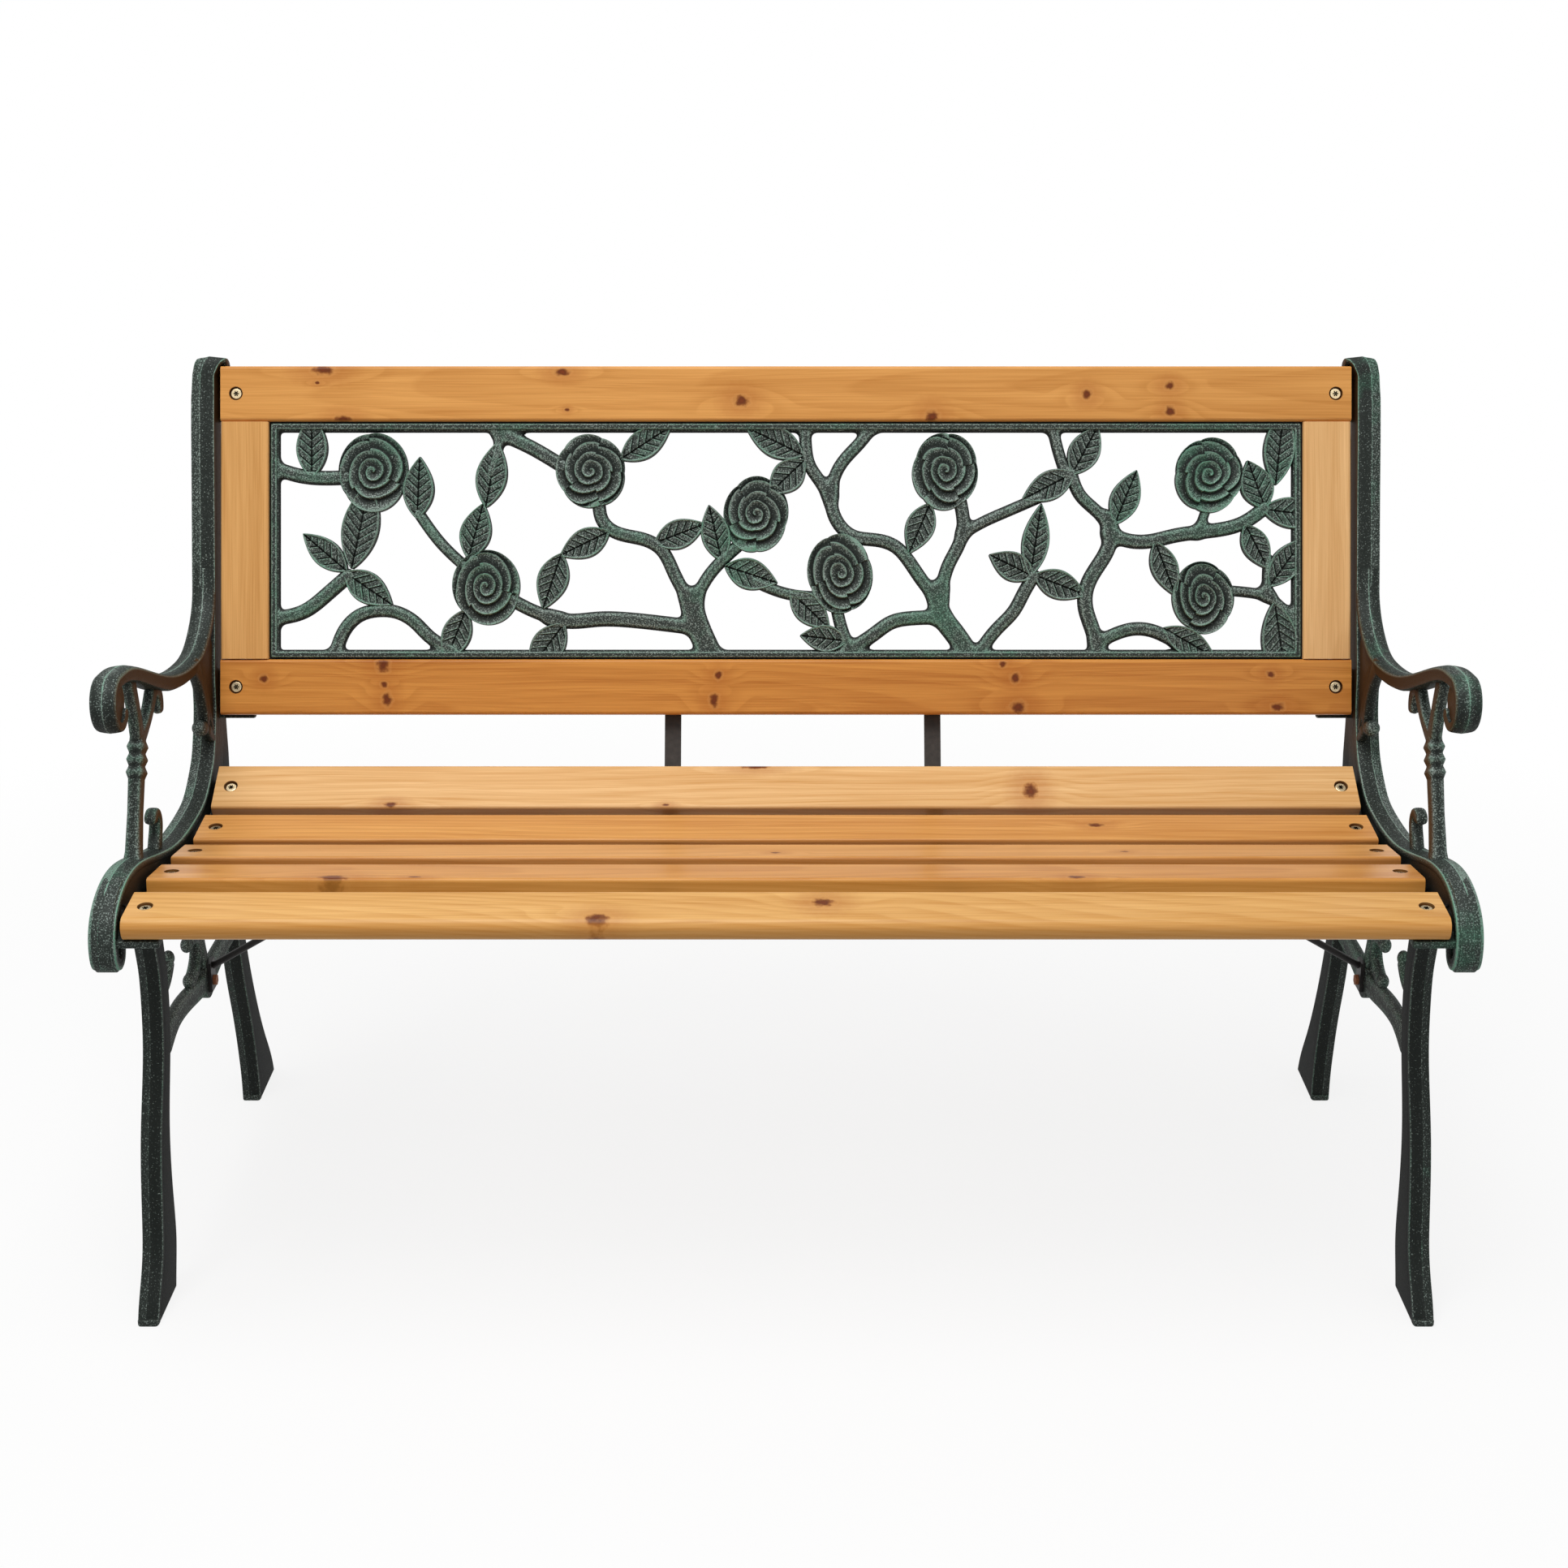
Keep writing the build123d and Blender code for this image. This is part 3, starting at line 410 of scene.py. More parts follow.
# Fork, hooked leaf and post leaf. Columns: points over the seat, half widths, thickness, rubbing, shift.
post_leaf_shift = 6
leaf_bars = [
    ([(-104, 104), (-108, 132), (-117, 170)], [8, 6, 7], 12, 0.6, 0),
    ([(-104, 104), (-84, 111), (-66, 120), (-44, 137)], [7, 5.5, 5.5, 7], 11, 0.6, 0),
    ([(-48, 134), (-33, 131), (-29, 117), (-33, 108)], [5, 6, 6, 5], 11, 0.6, 0),
    (
        [(-88, -18), (-78, 0), (-72, 14), (-77, 23), (-86, 22), (-89, 15)],
        [11, 8, 6, 5, 5, 5.5], 12, 0.45, 0,
    ),
    ([(84, 124), (102, 98), (113, 70), (116, 48)], [12, 6.5, 5.5, 6], 12, 0.3, post_leaf_shift),
    (
        [(104, 122), (114, 98), (122, 74), (127, 52), (131, 34)],
        [7, 4.5, 4, 3.5, 3], 10, 0.3, post_leaf_shift,
    ),
    ([(115, 44), (125, 32), (136, 22)], [6.5, 5, 3], 11, 0.3, post_leaf_shift),
]
for points, half_widths, thickness, rubbing, shift in leaf_bars:
    frame_parts.append(bar(over_seat(points), half_widths, thickness, rubbing=rubbing, shift=shift))
post_bud = (104, seat_height + 47)
post_bud_radius = 8.5
post_bud_shift = 4
frame_parts.append(knob(*post_bud, post_bud_radius, post_bud_radius, post_bud_shift))
gusset_outer = 1
gusset_inner = 9
gusset_rounding = 1
gusset_outline = over_seat(
    [
        (96, 116), (104, 92), (113, 70), (116, 44), (134, 28), (148, 62), (153, 82), (163, 112), (156, 134),
        (120, 119),
    ]
)
frame_parts.append(side_plate(gusset_outline, gusset_outer, gusset_inner, gusset_rounding))

# Scrolls under the seat: stretcher with its bolt lug, upright, C-scroll and leg bud, with knobs at the
# ends. Columns: points, half widths, and how many rings.
scroll_thickness = 12
lug_centre = (46, 222)
lug_radius = 19
lug_rounding = 1.2
scrolls = [
    (
        [(-128, 226), (-90, 236), (-40, 235), (0, 228), lug_centre, (90, 224), (174, 226)],
        [15, 11, 11, 11, 14, 10.5, 11.5], 70,
    ),
    ([(46, 235), (36, 270), (34, 300), (38, 340), (46, 385)], [9, 7, 7, 7.5, 10], 36),
    ([(-8, 285), (12, 283), (24, 268), (12, 252), (-12, 244)], [6, 4.5, 4.5, 4.5, 6], 36),
    ([(-118, 282), (-94, 287), (-76, 301)], [6, 5, 6], 36),
]
scroll_knobs = [(-8, 285), (-12, 247), (-76, 301)]
scroll_knob_radius = 8
frame_parts += [bar(points, halves, scroll_thickness, count) for points, halves, count in scrolls]
frame_parts += [knob(y, z, scroll_knob_radius, scroll_thickness / 2) for y, z in scroll_knobs]
lug_outline = lug_radius * circle + lug_centre
frame_parts.append(side_plate(lug_outline, -scroll_thickness / 2, scroll_thickness / 2, lug_rounding))

# Flat seats for the boards, one under each board end. A board's place is the middle of its top in the side
# view and its tilt; the back's two rails follow the seat's five boards.
board_thickness = 22
rail_half_width = 28.5
seat_stations = [(-248.5, -0.5, 6), (-155, -5, -8), (-69, -18.5, -9), (14.5, -26, 5.5), (88, -10, 30)]
board_places = [(y, seat_height + rise, radians(tilt)) for y, rise, tilt in seat_stations]
for rail_middle in (rail_half_width, back_height - rail_half_width):
    board_places.append((*back_point(rail_middle, 0), pi / 2 - back_lean))
pad_width = 46
pad_depth = 51
pad_shift = 26
pad_thickness = 7
pad_corner = 3
pad_rounding = 0.8
pad_outline = rounded_rectangle(pad_width, pad_depth, pad_corner) + (pad_shift, 0)
pad_drops = [0, 0, 0, 0, 0, 6, 0]
for (y, z, tilt), drop in zip(board_places, pad_drops):
    across_board = np.array([0, cos(tilt), sin(tilt)])
    board_normal = np.array([0, -sin(tilt), cos(tilt)])
    pad_place = np.array([frame_middle, y, z]) - board_thickness * board_normal - drop * across_board
    pad_directions = (along_x, across_board, board_normal)
    frame_parts.append(plate(pad_outline, -pad_thickness, 0, pad_rounding, pad_place, *pad_directions))


def linear(code):
    """Linear colour of an sRGB hex code, with the sRGB curve undone."""
    share = np.array([int(code[i : i + 2], 16) for i in (1, 3, 5)]) / 255
    curve = np.where(share <= 0.04045, share / 12.92, ((share + 0.055) / 1.055) ** 2.4)
    return (*curve.tolist(), 1.0)


def new_material(name):
    """Empty material whose output is a Principled surface, and that surface's node."""
    material = bpy.data.materials.new(name)
    material.use_nodes = True
    return material, material.node_tree.nodes["Principled BSDF"]


def feed(owner, node, inputs):
    """Inputs of a node: each is a value, or the output of an earlier node."""
    for name, value in inputs.items():
        if isinstance(value, bpy.types.NodeSocket):
            owner.node_tree.links.new(value, node.inputs[name])
        else:
            node.inputs[name].default_value = value


def add_node(owner, kind, inputs, output=0, **settings):
    """One output, the first if none is named, of a new node with its own settings and inputs."""
    node = owner.node_tree.nodes.new("ShaderNode" + kind)
    for name, value in settings.items():
        setattr(node, name, value)
    feed(owner, node, inputs)
    return node.outputs[output]


# A Mix node of colours takes its share at input 0 and its colours at 6 and 7, and gives the mix at output 2
colour_mix = {"output": 2, "data_type": "RGBA"}
metre = 1000


def per_metre(size):
    """Pattern scale for features of a size in millimetres."""
    return metre / size


# Painted cast iron: black paint over the sand's grain, with light specks that are painted glints of light,
# more of them where it is rubbed, and a dull sheen that fades at a slant. Where the wear attribute is low,
# in grooves and crevices, the paint is darker, a painted shade; where it is high it is lighter, rubbed
# paint with a painted highlight. Green rubbed on afterwards lies in patches a hand wide, and above the seat
# the sides towards the boards take a painted brown reflection of the wood. The grain is drawn 1.3 mm
# across, coarser than the sand's, so that it shows.
cast_iron, iron_surface = new_material("painted_cast_iron")
iron_node = partial(add_node, cast_iron)
place = iron_node("TexCoord", {}, "Object")
worn_and_shaded = iron_node("Attribute", {}, "Fac", attribute_name="wear_and_shade")
grain, patches, dabs = (
    iron_node("TexNoise", {"Vector": place, "Scale": per_metre(size), "Detail": detail})
    for size, detail in ((1.3, 2.0), (90, 3.0), (12, 3.0))
)
# Paint: near black as painted shade where the wear is low; light specks on the grain are painted glints
paint = iron_node("Mix", {0: worn_and_shaded, 6: linear("#111312"), 7: linear("#454f49")}, **colour_mix)
rubbed_grain = iron_node("Math", {0: worn_and_shaded, 1: 0.42, 2: grain}, operation="MULTIPLY_ADD")
glint_speck = iron_node("MapRange", {"Value": rubbed_grain, "From Min": 0.7, "From Max": 0.84})
glint_speckled = iron_node("Mix", {0: glint_speck, 6: paint, 7: linear("#909d96")}, **colour_mix)
rubbed = -2.1
for source, weight in ((worn_and_shaded, 1.5), (patches, 2.0), (dabs, 0.9)):
    rubbed = iron_node("Math", {0: source, 1: weight, 2: rubbed}, operation="MULTIPLY_ADD")
caught = iron_node("MapRange", {"Value": grain, "From Min": 0.4, "From Max": 0.62, "To Min": 0.2})
green = iron_node("Math", {0: rubbed, 1: caught}, operation="MULTIPLY", use_clamp=True)
finish = iron_node("Mix", {0: green, 6: glint_speckled, 7: linear("#5a957a")}, **colour_mix)

# Painted brown reflection of the wood on the iron: the place along the bench runs from -1 to 1, and an odd
# power keeps its sign while it fades everywhere but at the two ends. There, a side that faces the boards
# has the other sign.
facing = iron_node("NewGeometry", {}, "Normal")
facing_x = iron_node("SeparateXYZ", {0: facing})
along, _, height = iron_node("SeparateXYZ", {0: place}).node.outputs
which_end = iron_node("MapRange", {"Value": along, "From Min": -0.56, "From Max": 0.56, "To Min": -1.0})
end_power = 15.0
end_only = iron_node("Math", {0: which_end, 1: end_power}, operation="POWER")
over_seat_only = iron_node("MapRange", {"Value": height, "From Min": 0.38, "From Max": 0.46})
end_only = iron_node("Math", {0: end_only, 1: over_seat_only}, operation="MULTIPLY")
towards_boards = iron_node("Math", {0: end_only, 1: facing_x}, operation="MULTIPLY")
wood_reflection = iron_node("MapRange", {"Value": towards_boards, "From Min": -0.45, "From Max": -0.9, "To Max": 0.9})
finish = iron_node("Mix", {0: wood_reflection, 6: finish, 7: linear("#4e3722")}, **colour_mix)
hammered = iron_node("Bump", {"Height": grain, "Strength": 0.4, "Distance": 0.0008})
shine = iron_node("MapRange", {"Value": worn_and_shaded, "To Min": 0.08, "To Max": 0.3})
grazing = iron_node("LayerWeight", {"Blend": 0.5}, "Facing")
dulled = iron_node(
    "MapRange", {"Value": grazing, "From Min": 0.35, "From Max": 0.85, "To Min": 1.0, "To Max": 0.1}
)
shine = iron_node("Math", {0: shine, 1: dulled}, operation="MULTIPLY")
iron_finish = {"Base Color": finish, "Normal": hammered, "Specular IOR Level": shine, "Roughness": 0.5}
feed(cast_iron, iron_surface, iron_finish)
crisp_edge = radians(35)


def make_piece(name, parts, material, node):
    """Object from closed shells laid end to end, in metres, standing for a CAD node. Sharp edges stay
    crisp, and each point keeps its wear and painted shade as an attribute: the rubbing, with painted shade
    in grooves and crevices and painted highlights on edges and lips."""
    points = np.concatenate([part[0] for part in parts]) / metre
    starts = np.cumsum([0] + [len(part[0]) for part in parts[:-1]])
    blocks = [block + start for part, start in zip(parts, starts) for block in part[1]]
    corners = np.concatenate([block.ravel() for block in blocks])
    sizes = np.concatenate([np.full(len(block), block.shape[1]) for block in blocks])
    mesh = bpy.data.meshes.new(name)
    mesh.vertices.add(len(points))
    mesh.vertices.foreach_set("co", points.ravel())
    mesh.loops.add(len(corners))
    mesh.loops.foreach_set("vertex_index", corners)
    mesh.polygons.add(len(sizes))
    mesh.polygons.foreach_set("loop_start", np.cumsum(sizes) - sizes)
    mesh.update(calc_edges=True)
    wear_and_shade = mesh.attributes.new("wear_and_shade", "FLOAT", "POINT")
    wear_and_shade.data.foreach_set("value", np.concatenate([part[2] for part in parts]))
    mesh.shade_smooth()
    mesh.set_sharp_from_angle(angle=crisp_edge)
    mesh.materials.append(material)
    piece = bpy.data.objects.new(name, mesh)
    bpy.context.scene.collection.objects.link(piece)
    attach(piece, "root")
    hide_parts(node)
    return piece


def mirrored(parts):
    """The same shells on the other side of the bench, x turned round and faces turned back outwards."""
    turned = []
    for points, blocks, wear_and_shade in parts:
        turned.append((points * (-1, 1, 1), [block[:, ::-1] for block in blocks], wear_and_shade))
    return turned


make_piece("cast_end_left", frame_parts, cast_iron, "end_frame_left")
make_piece("cast_end_right", mirrored(frame_parts), cast_iron, "end_frame_right")


# Rose panel
# One iron casting in the back: a rim round a rose branch in low relief, with eight roses and veined leaves.
# It has the end frames' paint and rubbed green, and a tongue round it sits in grooves in the pine.

panel_width = 1065
panel_height = 242
panel_middle = 180
rim_lap = 5
relief_back = -13


def on_back(x, up, proud):
    """Places on the back: along x, up its slope from the panel's middle, and proud of the rails' front."""
    y, z = back_point(panel_middle + up, proud)
    return np.stack(np.broadcast_arrays(x, y, z), axis=-1)


# Rim: a raised bar round the edge, with the tongue behind it. Columns: how far in from the panel's edge,
# how proud of the rails' front, and wear and painted shade: high on the bar's edges, rubbed paint with a
# painted highlight, and low on the walls down to the back, a painted shade.
rim_section = [
    (0, -14, 0.1), (0, -11, 0.05), (-4.4, -10.9, 0.05), (-4.4, -7.1, 0.05), (0, -7, 0.05), (0, -4.4, 0.2),
    (0.5, -3.4, 0.85), (1.2, -3, 0.6), (2, -3, 0.35), (3, -3, 0.3), (4.2, -3, 0.35), (4.9, -3.1, 0.7),
    (5.5, -3.6, 0.85), (5.9, -4.6, 0.3), (6.1, -6.4, 0.05), (6.1, -14, 0.05),
]
rim_corner = 1.5
rim_rings = []
for inset, proud, _ in rim_section:
    outline = rounded_rectangle(panel_width - 2 * inset, panel_height - 2 * inset, rim_corner)
    rim_rings.append(on_back(outline[:, 0], outline[:, 1], proud))
rim_wear_and_shade = np.array(rim_section)[:, 2:]
rim = skin(np.array(rim_rings), rim_wear_and_shade, ring_shaped=True)

# Branch: each stem has a width and the points that its middle passes through
stems = [
    (15, [(-528, 75), (-505, 68), (-455, 66)]),
    (12, [(-380, 28), (-357, -3), (-333, -26)]),
    (11, [(-296, 116), (-298, 98), (-306, 70)]),
    (15, [(-298, 112), (-270, 100), (-232, 78)]),
    (15, [(-528, -80), (-500, -73), (-478, -57), (-454, -36)]),
    (
        14,
        [
            (-467, -116), (-456, -90), (-442, -77), (-423, -72), (-403, -74), (-384, -85), (-371, -98),
            (-345, -114),
        ],
    ),
    (14, [(-286, -60), (-258, -74), (-235, -81)]),
    (16, [(-244, -80), (-225, -83), (-195, -81), (-160, -82), (-92, -90)]),
    (25, [(-79, -116), (-90, -92), (-96, -74), (-98, -60)]),
    (14, [(-98, -66), (-117, -31), (-130, -8), (-145, 1), (-162, 5), (-180, 11), (-190, 21), (-194, 40)]),
    (13, [(-96, -66), (-80, -36), (-64, -18), (-44, 0)]),
    (12, [(-32, -42), (-8, -52), (8, -56), (34, -58)]),
    (13, [(52, -66), (57, -88), (68, -116)]),
    (15, [(64, -114), (92, -96), (110, -84), (130, -80), (162, -79)]),
    (22, [(190, -118), (172, -92), (160, -74), (158, -52)]),
    (
        14,
        [
            (158, -62), (140, -39), (127, -20), (114, -6), (100, 0), (85, 2), (70, 5), (57, 15), (49, 30),
            (46, 54),
        ],
    ),
    (13, [(46, 44), (34, 64), (25, 78), (21, 95), (20, 116)]),
    (13, [(47, 50), (52, 70), (62, 86), (75, 100), (88, 116)]),
    (14, [(160, -58), (169, -24), (180, -2), (184, 15), (181, 40)]),
    (12, [(184, 8), (205, 20), (225, 29), (262, 45)]),
    (14, [(200, -116), (220, -90), (236, -73), (246, -55), (257, -36)]),
    (12, [(277, 116), (282, 95), (290, 70)]),
    (13, [(296, 70), (305, 48), (319, 34), (336, 18)]),
    (16, [(324, -118), (318, -92), (311, -70), (311, -52), (319, -33), (331, -14), (337, 6), (334, 24)]),
    (15, [(334, 8), (358, 0), (378, 0), (400, 5), (425, 9), (450, 12), (472, 18), (496, 34)]),
    (10, [(427, 8), (432, 22), (437, 36)]),
    (14, [(322, -106), (345, -95), (362, -91), (380, -93), (400, -102)]),
    (11, [(455, -51), (485, -54), (502, -57)]),
    (11, [(496, -53), (511, -66), (530, -82)]),
    (10, [(499, -56), (499, -35), (500, -18)]),
]
stem_blend = 7
stem_reach = 30
lip_inset = 8.4
lip_blend = 4
dome_width = 6.5
branch_side = -9.6
branch_rise = 4.4
grid_step = 1.4
furthest_slide = 1.5 * grid_step


def soft_union(first, second, blend):
    """Lower of two distances, with the crease between them filled over a blend length."""
    overlap = np.clip(blend - np.abs(first - second), 0, None)
    return np.minimum(first, second) - overlap**2 / (4 * blend)


# Branch height field: on a grid over the panel, the distance to the nearest stem or to the rim's lip. Cells
# inside the outline are kept, edge points slide down the distance to the outline, and the top is a dome.
reach_x = panel_width / 2 - rim_lap
reach_z = panel_height / 2 - rim_lap
grid_x = np.arange(-reach_x, reach_x + 0.1, grid_step)
grid_z = np.arange(-reach_z, reach_z + 0.1, grid_step)
field_x, field_z = np.meshgrid(grid_x, grid_z, indexing="ij")
to_ends = panel_width / 2 - lip_inset - np.abs(field_x)
to_edges = panel_height / 2 - lip_inset - np.abs(field_z)
distance = soft_union(to_ends, to_edges, lip_blend)
for width, points in stems:
    middle_line = smooth(points, 60)
    low = middle_line.min(axis=0) - stem_reach
    high = middle_line.max(axis=0) + stem_reach
    columns = slice(*np.searchsorted(grid_x, (low[0], high[0])))
    rows = slice(*np.searchsorted(grid_z, (low[1], high[1])))
    gap_x = field_x[columns, rows, None] - middle_line[:, 0]
    gap_z = field_z[columns, rows, None] - middle_line[:, 1]
    to_stem = np.sqrt((gap_x**2 + gap_z**2).min(axis=-1)) - width / 2
    distance[columns, rows] = soft_union(distance[columns, rows], to_stem, stem_blend)
slope_x, slope_z = np.gradient(distance, grid_step)
steepness = np.clip(slope_x**2 + slope_z**2, 0.25, None)
inside = distance < 0


def four_corners(grid):
    """Sum over each cell's four corners."""
    return grid[:-1, :-1] + grid[1:, :-1] + grid[:-1, 1:] + grid[1:, 1:]


kept = four_corners(distance) < 0
padded_cells = np.pad(kept, 1)
cell_count = four_corners(padded_cells.astype(int))
on_outline = (cell_count > 0) & (cell_count < 4) | ~inside
on_outline[[0, -1]] = False
on_outline[:, [0, -1]] = False
slide = np.where(on_outline, np.clip(distance, -furthest_slide, furthest_slide), 0)
field_x = field_x - slide * slope_x / steepness
field_z = field_z - slide * slope_z / steepness
dome_share = np.clip(-np.where(on_outline, 0, distance) / dome_width, 0, 1)
branch_proud = branch_side + branch_rise * np.sqrt(1 - (1 - dome_share) ** 2)
index = np.arange(field_x.size).reshape(field_x.shape)
corners = np.stack([index[:-1, :-1], index[1:, :-1], index[1:, 1:], index[:-1, 1:]], axis=-1)
branch_blocks = [corners[kept], corners[kept][:, ::-1] + field_x.size]
for step_x, step_z, first, second in ((-1, 0, 0, 3), (1, 0, 2, 1), (0, -1, 1, 0), (0, 1, 3, 2)):
    neighbour = np.roll(padded_cells, (-step_x, -step_z), (0, 1))[1:-1, 1:-1]
    edge = corners[kept & ~neighbour]
    a, b = edge[:, first], edge[:, second]
    branch_blocks.append(np.stack([a, b, b + field_x.size, a + field_x.size], axis=-1))
branch_points = np.concatenate(
    [
        on_back(field_x, field_z, branch_proud).reshape(-1, 3),
        on_back(field_x, field_z, relief_back).reshape(-1, 3),
    ]
)
# Stems: lighter on their shoulders, and darker at their feet where they meet the back, a painted shade
branch_rubbing_and_shade = 0.4 + 0.3 * np.exp(-(((dome_share - 0.5) / 0.25) ** 2)) - 0.4 * (1 - dome_share) ** 3
branch_wear_and_shade = np.concatenate([branch_rubbing_and_shade.ravel(), np.zeros(field_x.size)])
used = np.unique(np.concatenate([block.ravel() for block in branch_blocks]))
renumber = np.zeros(len(branch_points), int)
renumber[used] = np.arange(len(used))
branch = outward(branch_points[used], [renumber[block] for block in branch_blocks], branch_wear_and_shade[used])

make_piece("rose_branch", [rim, branch], cast_iron, "rose_panel")

# Leaves: where each leaves its stem, its tip, and its half width
leaves = [
    (-491, 64, -491, 133, 16), (-382, 22, -379, 88, 16), (-311, 34, -298, 104, 16),
    (-329, -20, -313, 40, 16), (-454, -32, -501, 8, 14), (-450, -30, -430, 64, 19),
    (-458, -32, -407, -67, 16), (-331, -70, -353, -128, 15), (-182, 10, -235, -16, 15),
    (-232, -12, -252, -72, 16), (-229, -85, -266, -135, 17), (-172, 84, -118, 119, 15),
    (-137, -3, -82, 18, 15), (-66, -22, -80, 38, 15), (-64, -26, -8, -44, 16), (4, -52, 46, -92, 15),
    (64, -104, 14, -98, 14), (19, 88, -42, 118, 16), (20, 84, -18, 48, 16), (150, 40, 127, -14, 15),
    (258, -38, 210, -14, 15), (253, -38, 265, 40, 14), (256, -35, 312, -57, 15), (300, 71, 244, 42, 15),
    (296, 68, 324, 120, 16), (340, 16, 364, 74, 15), (382, 0, 404, -58, 14), (390, -90, 446, -122, 14),
    (475, 18, 500, -30, 14), (500, -48, 538, 4, 15), (497, 32, 478, 84, 17), (492, 33, 562, 24, 16),
    (507, 57, 516, 140, 16), (506, -62, 520, -160, 19),
]
leaf_rings = 98
leaf_points = 51
vein_spacing = 9
vein_slant = 0.9
vein_half = 0.7
groove_half = 0.55
rib_half = 0.62
border_inset = 1.4
border_half = 0.95
roll_width = 1.2
leaf_proud = -6.6
rim_press = 1 / 30


def ridge(distance_from_line, half_width):
    """Low rounded ridge: a bell curve of the distance from its line."""
    return np.exp(-((distance_from_line / half_width) ** 2))


def under_rim(place, limit):
    """Places kept inside a limit under the rim: beyond it they go on at a small share of the distance."""
    beyond = np.clip(np.abs(place) - limit, 0, None)
    return np.sign(place) * (np.abs(place) - beyond * (1 - rim_press))


def leaf(base_x, base_z, tip_x, tip_z, half_width):
    """Leaf as rings across its length. Its half width is a sine of the share along it; on top are a rolled
    border, a cut along the middle, and side veins that slant to the tip, each a cut with a low ridge beside
    it."""
    length = np.hypot(tip_x - base_x, tip_z - base_z)
    share = np.linspace(0.012, 0.988, leaf_rings)[:, None]
    half = 1.03 * half_width * np.sin(pi * share**0.9) ** 0.9
    across = np.linspace(-1, 1, leaf_points) * half
    from_rib = np.abs(across)
    from_edge = half - from_rib
    border = ridge(from_edge - border_inset, border_half)
    vein_count = (share * length - vein_slant * from_rib) / vein_spacing
    vein_place = (vein_count % 1 - 0.5) * vein_spacing
    field = np.clip((from_edge - 3) / 1.5, 0, 1)
    vein = ridge(vein_place + 1.2, vein_half) * field
    groove = np.maximum(ridge(vein_place, groove_half) * field, ridge(from_rib, rib_half))
    rolled = np.clip(1 - from_edge / roll_width, 0, 1) ** 2
    proud = leaf_proud + 0.9 * from_rib / half_width + 1.1 * border + 0.4 * vein - 1.5 * groove - 3 * rolled
    proud += 0.5 * np.sin(pi * share)
    # Wear: lighter on the border and beside the veins, rubbed paint with a painted highlight, and darker in
    # the cuts and on the rolled-under edge, a painted shade
    wear_and_shade = np.clip(0.42 + 0.58 * border + 0.55 * vein - 0.8 * groove - 0.4 * rolled, 0, 1)
    along = np.array([tip_x - base_x, tip_z - base_z]) / length
    across = np.column_stack([across, across[:, -1], across[:, 0]])
    proud = np.column_stack([proud, 0 * share + relief_back, 0 * share + relief_back])
    wear_and_shade = np.column_stack([wear_and_shade, 0 * share, 0 * share])
    x = under_rim(base_x + along[0] * length * share - along[1] * across, reach_x)
    z = under_rim(base_z + along[1] * length * share + along[0] * across, reach_z)
    return skin(on_back(x, z, proud), wear_and_shade)


half_count = len(leaves) // 2
for side, side_leaves in (("left", leaves[:half_count]), ("right", leaves[half_count:])):
    leaf_parts = [leaf(*one) for one in side_leaves]
    make_piece(f"rose_leaves_{side}", leaf_parts, cast_iron, "rose_panel")

# Roses: centre, half sizes, the angle where the outer petal ends, which way the petals wind, and how many
# petals show round the edge
roses = [
    (-427, 71, 37, 41, 240, 1, 3), (-202, 72, 36, 39, 200, -1, 5), (-310, -48, 36, 39, 250, 1, 3),
    (-31, 27, 34, 40, 330, -1, 5), (56, -34, 34, 42, 40, 1, 4), (165, 72, 35, 40, 170, 1, 5),
    (438, 68, 36, 39, 190, 1, 5), (432, -59, 32, 38, 310, -1, 4),
]
petal_shares = [0, 0.06, 0.22, 0.42, 0.68, 1.0]
petal_turns = [3.9, 3.6, 3, 2, 1, 0]
rose_points = 168
rose_rings = 66
petal_end = 0.84
petal_notch = 0.055
rose_edge = -8.4
rose_rise = 6


def rose(centre_x, centre_z, half_x, half_z, start, winding, petals):
    """Rose as rings from its edge to its heart. Turns count inwards with the share of the radius, so that
    turns plus angle is constant along one spiral lip; from each lip the petal dips inwards to a groove. The
    edge is scalloped by the size of a sine, and at each notch the outer lips step inwards to the next
    petal."""
    angle = around(rose_points)
    petal_angle = petals * angle / 2 + 0.6
    lobes = 1 - petal_notch + petal_notch * np.abs(np.sin(petal_angle)) ** 0.6
    lobes = lobes + 0.02 * np.cos(2 * angle + half_x)
    share = np.append([1, 1, 0.99], np.linspace(0.975, 0.015, rose_rings))[:, None]
    wobble = (0.2 * np.sin(2 * angle + half_z) + 0.12 * np.sin(3 * angle + centre_z)) * share
    wobble = wobble + 0.3 * (petal_angle / pi % 1 - 0.5) * np.clip(5 * share - 2, 0, 1)
    turns = np.interp(share + 0 * angle, petal_shares, petal_turns)
    turns = turns + wobble * np.clip(8 * (1 - share), 0, 1)
    phase = turns + angle / (2 * pi)
    outer_room = np.clip(1 - angle / (2 * pi), 0.05, 1)
    dip = np.where(phase < 1, np.clip(turns / outer_room, 0, 1), phase % 1)
    lip = 4.6 - 1.8 * np.clip(turns / 4, 0, 1)
    falling = np.clip(1 - dip / petal_end, 0, 1) ** 1.3
    rising = np.clip((dip - petal_end) / (1 - petal_end), 0, 1) ** 1.4
    proud_share = np.where(dip < petal_end, falling, rising)
    proud = rose_edge + rose_rise * (1 - share**1.5) + lip * proud_share
    proud[0] = relief_back
    proud[1] -= 2
    # Wear: a painted highlight along each lip, painted shade down in the crevices, and darker still at the
    # edge where the rose meets the back
    wear_and_shade = np.clip(0.1 + 0.5 * proud_share**0.7 + 0.5 * proud_share**6, 0, 1)
    wear_and_shade[0] = 0
    wear_and_shade[1] *= 0.4
    turned = radians(start) + winding * angle
    x = centre_x + half_x * share * lobes * np.cos(turned)
    z = centre_z + half_z * share * lobes * np.sin(turned)
    return skin(on_back(x, z, proud), wear_and_shade)


